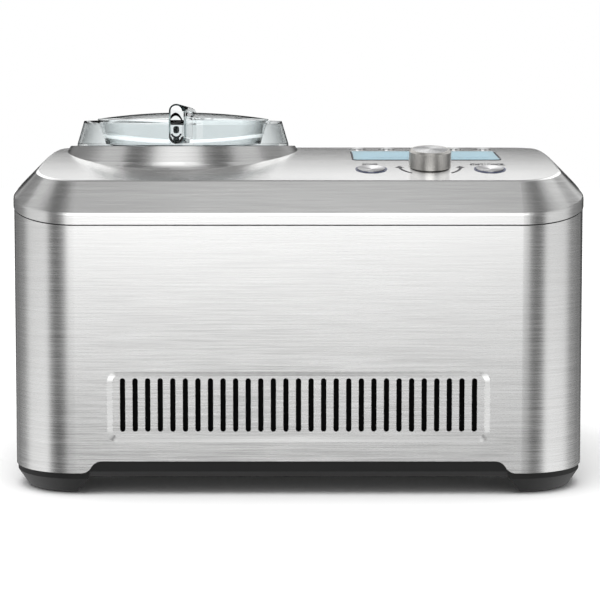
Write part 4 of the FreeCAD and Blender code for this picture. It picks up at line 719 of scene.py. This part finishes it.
class ICECREAM_OT_bowl(Operator):
    """Satin aluminium bowl and chamber, moulded paddle"""

    bl_idname = "icecream.bowl"
    bl_label = "Bowl and paddle"

    def execute(self, context):
        satin = brushed_steel("bowl_aluminium", linear(226, 227, 229), linear(208, 209, 212), (30.0, 30.0, 1600.0),
                              (0.25, 0.38), "Z", ACROSS)
        finish_nodes(satin, "bowl", "cooling_chamber")
        paddle = moulded("paddle_plastic", linear(236, 238, 238), linear(224, 227, 227), (0.32, 0.42), 1200.0, 0.08)
        finish_nodes(paddle, "paddle")
        return {"FINISHED"}


# Works: light and dark display values, roughness, fineness, bump and specular where moulded, nodes

WORKS_MOULDED = (
    ("gear_plastic", (238, 234, 222), (226, 221, 206), (0.38, 0.5), 1600.0, 0.1, 0.5, ("drive_gear", "idler_gear")),
    ("compressor_enamel", (30, 30, 32), (20, 20, 22), (0.28, 0.38), 500.0, 0.08, 0.5, ("compressor",)),
    ("motor_paint", (112, 114, 118), (92, 94, 98), (0.4, 0.5), 900.0, 0.12, 0.5,
     ("drive_motor", "fan_motor", "encoder")),
    ("insulation_foam", (232, 218, 176), (214, 196, 150), (0.75, 0.9), 380.0, 0.6, 0.2, ("foam_jacket",)),
    ("coated_board", (28, 98, 58), (18, 78, 46), (0.3, 0.42), 1500.0, 0.06, 0.5, ("control_board", "power_board")),
)
WORKS_METAL = (
    ("drawn_copper", (214, 142, 104), (180, 110, 78), (0.28, 0.42), 700.0,
     ("evaporator_coil", "condenser_tube", "refrigerant_lines", "filter_drier", "shaft_bush")),
    ("fin_aluminium", (214, 216, 218), (188, 190, 194), (0.3, 0.45), 1200.0, ("condenser_fins",)),
)


class ICECREAM_OT_works(Operator):
    """Finishes of the drive, the cold circuit and the boards inside the casing"""

    bl_idname = "icecream.works"
    bl_label = "Drive and cold circuit"

    def execute(self, context):
        for maker, rows in ((moulded, WORKS_MOULDED), (plain_metal, WORKS_METAL)):
            for name, light, dark, *values, nodes in rows:
                finish_nodes(maker(name, linear(*light), linear(*dark), *values), *nodes)
        return {"FINISHED"}


# Controls: lengths in metres

SPUN_ROUGH = (0.16, 0.26)
KNOB_SKIN, KNOB_HEIGHTS = (0.0136, 0.0139), (0.2170, 0.2225)  # radius and height over which its image fades
KNOB_REFLECTION_GLOW = 0.66  # painted glow that its reflection gains
SCREEN_GLOW, PANE_PAINTED_GLOW = 0.5, 0.11


class ICECREAM_OT_controls(Operator):
    """Spun knob and buttons, dark rings, lit display and its switches"""

    bl_idname = "icecream.controls"
    bl_label = "Controls"

    def execute(self, context):
        look = context.scene.ice_panel
        spun = spun_metal("spun_steel", linear(236, 236, 236), linear(206, 206, 206), SPUN_ROUGH)
        finish_nodes(spun, "mode_button_1", "mode_button_2", "mode_button_3", "mode_button_4")
        # The knob's cap and the main buttons carry painted highlight fans round their own centres.
        for node, along, row in (("knob_cap", 0.0, look.knob_y), ("power_button", -1.0, look.button_y),
                                 ("start_button", 1.0, look.button_y)):
            centre = (look.middle + along * look.button_spread, row)
            top = spun_metal("spun_" + node, linear(255, 255, 255), linear(128, 128, 130), SPUN_ROUGH, centre)
            finish_nodes(top, node)
        side = brushed_steel("knob_steel", linear(214, 212, 208), linear(186, 184, 180), (2200.0, 2200.0, 60.0),
                             (0.36, 0.44), "Z", ACROSS)
        # Painted reflection: emission seen only by glossy rays lightens the knob's image in the hood.
        paint_reflection_glow(side, (look.middle, look.knob_y), KNOB_SKIN, KNOB_HEIGHTS, KNOB_REFLECTION_GLOW)
        finish_nodes(side, "knob")
        ring = moulded("ring_gloss", linear(64, 72, 104), linear(46, 54, 84), (0.16, 0.24), 900.0, 0.02)
        finish_nodes(ring, "button_rings")
        switch = moulded("switch_plastic", linear(40, 40, 42), linear(28, 28, 30), (0.35, 0.45), 1200.0, 0.1)
        finish_nodes(switch, "button_switches")
        self.display(look)
        return {"FINISHED"}

    def display(self, look):
        """Lit screen under a clear pane: a soft glow with faint columns; the pane gets a faint painted glow of its
        own.
        """
        material, shade, shader, coordinates = surface("lit_screen")
        columns = lines_on(shade, coordinates, (900.0, 40.0, 40.0))
        colour = shade.mix(columns, four(look.screen, 0.93), four(look.screen))
        shade.feed(shader, Base_Color=colour, Roughness=shade.span(columns, 0.3, 0.4), Emission_Color=colour,
                   Emission_Strength=SCREEN_GLOW)
        finish_nodes(material, "display_module")
        pane, shade, shader, coordinates = surface("display_pane")
        marks = marks_on(shade, coordinates)
        # Painted light: the pane takes the screen's colour and glows faintly.
        shade.feed(shader, Base_Color=shade.mix(marks, four(look.screen), four(look.screen, 1.06)),
                   Roughness=shade.span(marks, 0.10, 0.16), Emission_Color=four(look.screen),
                   Emission_Strength=PANE_PAINTED_GLOW, Transmission_Weight=0.35, Specular_IOR_Level=0.35)
        finish_nodes(pane, "display_window")


# Panel print: lengths in metres, angles in degrees

ARROW_START, ARROW_REACH = 82.0, 58.0  # from the back of the knob
ARROW_HEAD, HEAD_WIDTH = 0.2, 0.0064  # share of the arc, width at its foot
TAIL_WIDTH, TAIL_TAPER = 0.0022, 0.0010
ARROW_STEPS, ARROW_LINES = 49, 3
BEZEL_EDGES = (-0.0004, 0.0010)  # inner and outer line, measured from the display's edge
BEZEL_BEND, BEZEL_TURNS, BEZEL_STEPS = 0.003, 64, 400
PANE_LIFT = 3.0  # print on the pane stands this many times as high
TICKS, TICK_PITCH = 14, 0.0062
TICK_LENGTH, TICK_WIDTH = 0.0042, 0.0016
TICK_START, TICK_ROW = -0.040, -0.0135  # from the display's middle
WORDS = (("POWER", "word_power", -1.0), ("START | CANCEL", "word_start", 1.0))
WORD_SIZE, WORD_WEIGHT = 0.0032, 0.00012
WORD_BACK, WORD_STRETCH = 0.0122, 2.3  # behind the button's middle, drawn out to be read from the front


class ICECREAM_OT_panel_print(Operator):
    """Printed marks on the hood: turning arrows, button words, display bezel and ticks"""

    bl_idname = "icecream.panel_print"
    bl_label = "Panel print"

    def execute(self, context):
        look = context.scene.ice_panel
        ink = moulded("panel_ink", four(look.ink), four(look.ink, 0.7), (0.4, 0.5), 1500.0, 0.02)
        self.arrows(look, ink)
        self.bezel(look, ink)
        self.ticks(look)
        for text, name, along in WORDS:
            self.word(look, ink, text, name, along * look.button_spread)
        return {"FINISHED"}

    def mark(self, obj, thickness, material):
        """Printed mark that stays with the casing."""
        thicken(obj, thickness)
        dress(obj, material, "housing")

    def arrows(self, look, ink):
        """Two arcs round the knob whose width grows from a point to a head and drops to a thin tail."""
        along = np.linspace(0.0, 1.0, ARROW_STEPS)
        across = np.linspace(-0.5, 0.5, ARROW_LINES)
        width = np.where(along < ARROW_HEAD, HEAD_WIDTH * along / ARROW_HEAD, TAIL_WIDTH - TAIL_TAPER * along)
        faces = grid_faces(ARROW_STEPS, ARROW_LINES)
        for side, name in ((-1, "turn_arrow_left"), (1, "turn_arrow_right")):
            angle = np.radians(90.0 - side * (ARROW_START + ARROW_REACH * along))
            radius = look.arrow_radius + across[None, :] * width[:, None]
            x = look.middle + radius * np.cos(angle)[:, None]
            y = look.knob_y + radius * np.sin(angle)[:, None]
            obj = put_mesh(name, on_crown(look, x, y, look.lift), faces[:, ::-1] if side < 0 else faces)
            self.mark(obj, look.lift, ink)

    def bezel(self, look, ink):
        """Dark frame of the display: two rounded rectangles at even steps, joined.

        Each is (a sign(cos t) + r cos t, b sign(sin t) + r sin t).
        """
        t = np.linspace(0.0, FULL_TURN, BEZEL_TURNS, endpoint=False) + math.pi / BEZEL_TURNS
        lines = []
        for offset in BEZEL_EDGES:
            bend = BEZEL_BEND + offset
            x = (look.window_width / 2 - BEZEL_BEND) * np.sign(np.cos(t)) + bend * np.cos(t)
            y = (look.window_length / 2 - BEZEL_BEND) * np.sign(np.sin(t)) + bend * np.sin(t)
            x, y = np.append(x, x[0]), np.append(y, y[0])
            walked = np.append(0.0, np.cumsum(np.hypot(np.diff(x), np.diff(y))))
            steps = np.linspace(0.0, walked[-1], BEZEL_STEPS, endpoint=False)
            lines.append(np.stack([np.interp(steps, walked, x), np.interp(steps, walked, y)], axis=-1))
        flat = np.stack(lines)
        lift = PANE_LIFT * look.lift
        points = on_crown(look, look.middle + flat[..., 0], look.window_y + flat[..., 1], lift)
        self.mark(put_mesh("display_bezel", points, grid_faces(2, BEZEL_STEPS, wrap=True)[:, ::-1]), lift, ink)

    def ticks(self, look):
        """Row of short bars along the display's front edge."""
        start = look.middle + TICK_START + np.arange(TICKS) * TICK_PITCH
        x = start[:, None] + np.array([0.0, TICK_LENGTH, TICK_LENGTH, 0.0])[None, :]
        y = look.window_y + TICK_ROW + np.array([[0.0, 0.0, TICK_WIDTH, TICK_WIDTH]])
        points = on_crown(look, x, y, PANE_LIFT * look.lift)
        obj = put_mesh("display_ticks", points, np.arange(4 * TICKS).reshape(TICKS, 4), smooth=False)
        pale = moulded("screen_ink", linear(120, 152, 166), linear(108, 140, 154), (0.3, 0.4), 1500.0, 0.02)
        self.mark(obj, look.lift, pale)

    def word(self, look, ink, text, name, offset):
        """Plain word laid flat on the crown behind its button."""
        curve = bpy.data.curves.new(text, "FONT")
        curve.body = text
        curve.size = WORD_SIZE
        curve.align_x = "CENTER"
        curve.offset = WORD_WEIGHT
        holder = bpy.data.objects.new("word", curve)
        bpy.context.scene.collection.objects.link(holder)
        bpy.context.view_layer.update()
        mesh = bpy.data.meshes.new_from_object(holder.evaluated_get(bpy.context.evaluated_depsgraph_get()))
        bpy.data.objects.remove(holder)
        flat = np.empty(3 * len(mesh.vertices), np.float32)
        mesh.vertices.foreach_get("co", flat)
        flat = flat.reshape(-1, 3)
        x = look.middle + offset + flat[:, 0]
        y = look.button_y + WORD_BACK + WORD_STRETCH * flat[:, 1]
        mesh.vertices.foreach_set("co", on_crown(look, x, y, look.lift).astype(np.float32).ravel())
        mesh.update()
        obj = bpy.data.objects.new(name, mesh)
        bpy.context.scene.collection.objects.link(obj)
        self.mark(obj, look.lift, ink)


# Stage: (place, level) stops run over the bearing, from the front (0) to the back (1), or over the rise, from straight
# below (0) to straight above (1); spans are places on the same scales

CARDS = ((0.0, 1.0), (0.04, 0.97), (0.085, 0.85), (0.145, 0.24), (0.19, 0.12), (0.235, 0.13), (0.31, 0.50),
         (0.48, 0.48), (0.62, 0.18), (0.74, 0.14), (0.84, 0.8), (1.0, 0.85))
FRONT = ((0.0, 0.26), (0.36, 0.20), (0.41, 0.10), (0.436, 0.06), (0.472, 0.36), (0.502, 0.96), (0.64, 0.96),
         (0.76, 0.58), (0.88, 0.26), (1.0, 0.21))
BESIDE = ((0.0, 0.5), (0.40, 0.74), (0.50, 0.66), (0.60, 0.68), (0.76, 0.50), (0.88, 0.26), (1.0, 0.21))
BEHIND = ((0.0, 0.32), (0.36, 0.26), (0.42, 0.13), (0.47, 0.04), (0.50, 0.01), (0.55, 0.012), (0.61, 0.22),
          (0.68, 0.72), (0.78, 0.62), (0.90, 0.26), (1.0, 0.21))
THROUGH = ((0.0, 0.4), (0.33, 0.45), (0.42, 0.97), (0.58, 1.0), (0.68, 0.64), (1.0, 0.56))  # seen through the lid
CARD_SHIFT = 0.06  # radians by which the cards are set round
CARD_STRETCH, STRETCH_RISE = 0.66, (0.70, 0.77)  # higher up the cards spread
CARD_FOOT, CARD_STEEP = (0.375, 0.415), (1.05, 1.45)  # where they begin, and the slope in radians where they end
SIDE_SPAN, BACK_SPAN = (0.2, 0.3), (0.72, 0.82)  # where the front becomes the side, and the side the back
DIM_LEFT, DIM_RISE, DIM_DEPTH = (-0.18, 0.04), (0.86, 0.93), 0.45  # dimmer part overhead on the left
CORNER_LEAN, CORNER_SPAN = 0.75, (1.225, 1.265)  # card that lights the chamfer's corners, along a slanting edge
CORNER_RISE, CORNER_BACK, CORNER_LEVEL = (0.80, 0.86), (0.85, 0.90), 0.8
FLOOR_HALF, FLOOR_DROP = 6.0, 0.0002  # metres
SUN_SPREAD, SUN_TILT = 60.0, (8.0, -6.0)  # degrees
CAMERA_SHIFT, CAMERA_CLIP = (0.0025, -0.12), (0.05, 50.0)


class ICECREAM_OT_stage(Operator):
    """White floor, soft studio light and the camera in front"""

    bl_idname = "icecream.stage"
    bl_label = "Stage"

    def execute(self, context):
        look = context.scene.ice_stage
        self.floor(look)
        self.surround(context, look)
        self.overhead(context, look)
        self.camera(context, look)
        context.scene.view_settings.view_transform = "Standard"
        return {"FINISHED"}

    def floor(self, look):
        """Level white sheet that keeps the shadow."""
        axis = np.linspace(-FLOOR_HALF, FLOOR_HALF, 3)
        x, y = np.meshgrid(axis, axis)
        obj = put_mesh("floor", np.stack([x, y, np.full_like(x, -FLOOR_DROP)], axis=-1), grid_faces(3, 3))
        material, shade, shader, _ = surface("floor_white")
        shade.feed(shader, Base_Color=four(look.floor), Roughness=0.9, Specular_IOR_Level=0.0)
        obj.data.materials.append(material)
        obj.visible_glossy = False

    def surround(self, context, look):
        """Studio all round: white where seen, with soft cards and boxes where it is mirrored."""
        world = bpy.data.worlds.new("studio")
        context.scene.world = world
        world.use_nodes = True
        shade = Shade(world.node_tree)
        background = world.node_tree.nodes["Background"]
        x, y, z = shade.split(shade.add("ShaderNodeTexCoord").outputs["Generated"])
        turn = shade.math("ADD", shade.math("ARCTAN2", x, shade.product(y, -1.0)), CARD_SHIFT)
        bearing = shade.math("DIVIDE", shade.math("ABSOLUTE", turn), math.pi)
        climb = shade.math("ARCSINE", z)
        rise = shade.fade_in(climb, -math.pi / 2, math.pi / 2)
        mirrored = self.mirrored(shade, x, climb, rise, bearing)
        scaled = shade.add("ShaderNodeVectorMath", operation="SCALE", Vector=mirrored, Scale=look.mirror)
        path = shade.add("ShaderNodeLightPath")
        colour = shade.mix(path.outputs["Is Glossy Ray"], grey(look.sky), scaled.outputs[0])
        colour = shade.mix(path.outputs["Is Transmission Ray"], colour, shade.ramp(rise, THROUGH))
        colour = shade.mix(path.outputs["Is Camera Ray"], colour, WHITE)
        shade.feed(background, Color=colour, Strength=1.0)

    def mirrored(self, shade, x, climb, rise, bearing):
        """What the steel mirrors: cards by bearing times levels by rise, a dimmer part overhead and a corner card."""
        cards = shade.ramp(shade.product(bearing, shade.span(rise, 1.0, CARD_STRETCH, *STRETCH_RISE)), CARDS)
        shown = shade.product(shade.fade_out(shade.math("ABSOLUTE", climb), *CARD_STEEP),
                              shade.fade_in(rise, *CARD_FOOT))
        sides = shade.mix(shade.fade_in(bearing, *SIDE_SPAN), shade.ramp(rise, FRONT), shade.ramp(rise, BESIDE))
        levels = shade.mix(shade.fade_in(bearing, *BACK_SPAN), sides, shade.ramp(rise, BEHIND))
        dim = shade.product(shade.fade_out(x, *DIM_LEFT), shade.fade_in(rise, *DIM_RISE), DIM_DEPTH)
        studio = shade.mix(1.0, shade.mix(shown, WHITE, cards), shade.mix(dim, levels, BLACK), "MULTIPLY")
        slant = shade.math("ADD", rise, shade.product(bearing, CORNER_LEAN))
        corner = shade.product(shade.fade_in(slant, *CORNER_SPAN), shade.fade_out(rise, *CORNER_RISE),
                               shade.fade_out(bearing, *CORNER_BACK))
        return shade.mix(corner, studio, grey(CORNER_LEVEL))

    def overhead(self, context, look):
        """Broad light from above that clears the floor and leaves a soft shadow under the base."""
        data = bpy.data.lights.new("overhead", "SUN")
        data.energy = look.sun
        data.angle = math.radians(SUN_SPREAD)
        obj = bpy.data.objects.new("overhead", data)
        obj.rotation_euler = (math.radians(SUN_TILT[0]), math.radians(SUN_TILT[1]), 0.0)
        obj.visible_glossy = False
        obj.visible_transmission = False
        context.scene.collection.objects.link(obj)

    def camera(self, context, look):
        """Camera straight in front, looking slightly down, with a small shift."""
        data = bpy.data.cameras.new("camera")
        data.lens = look.lens
        data.sensor_width = 36.0
        data.shift_x, data.shift_y = CAMERA_SHIFT
        data.clip_start, data.clip_end = CAMERA_CLIP
        obj = bpy.data.objects.new("camera", data)
        obj.location = (0.0, cad_box[0][1] - look.distance, look.height)
        obj.rotation_euler = (math.pi / 2 - look.pitch, 0.0, 0.0)
        context.scene.collection.objects.link(obj)
        context.scene.camera = obj


class ICECREAM_PT_looks(Panel):
    """Buttons and settings of the looks."""

    bl_idname = "ICECREAM_PT_looks"
    bl_label = "Ice cream maker"
    bl_space_type = "VIEW_3D"
    bl_region_type = "UI"
    bl_category = "Ice cream maker"

    def draw(self, context):
        for group in ("ice_casing", "ice_lid", "ice_panel", "ice_stage"):
            look = getattr(context.scene, group)
            box = self.layout.box()
            for name in look.__annotations__:
                box.prop(look, name)
        for operator in OPERATORS:
            self.layout.operator(operator.bl_idname)


OPERATORS = (ICECREAM_OT_casing, ICECREAM_OT_lid, ICECREAM_OT_bowl, ICECREAM_OT_works, ICECREAM_OT_controls,
             ICECREAM_OT_panel_print, ICECREAM_OT_stage)
LOOKS = (("ice_casing", CasingLook), ("ice_lid", LidLook), ("ice_panel", PanelLook), ("ice_stage", StageLook))


def register():
    """Adds the classes and their settings to the scene."""
    for name, group in LOOKS:
        bpy.utils.register_class(group)
        setattr(bpy.types.Scene, name, PointerProperty(type=group))
    for operator in OPERATORS:
        bpy.utils.register_class(operator)
    bpy.utils.register_class(ICECREAM_PT_looks)


def unregister():
    """Takes them away again."""
    bpy.utils.unregister_class(ICECREAM_PT_looks)
    for operator in reversed(OPERATORS):
        bpy.utils.unregister_class(operator)
    for name, group in LOOKS:
        delattr(bpy.types.Scene, name)
        bpy.utils.unregister_class(group)


def main():
    """Makes the pieces in order."""
    register()
    bpy.ops.icecream.casing()
    bpy.ops.icecream.lid()
    bpy.ops.icecream.bowl()
    bpy.ops.icecream.works()
    bpy.ops.icecream.controls()
    bpy.ops.icecream.panel_print()
    bpy.ops.icecream.stage()
    bpy.context.view_layer.update()


if __name__ == "__main__":
    main()
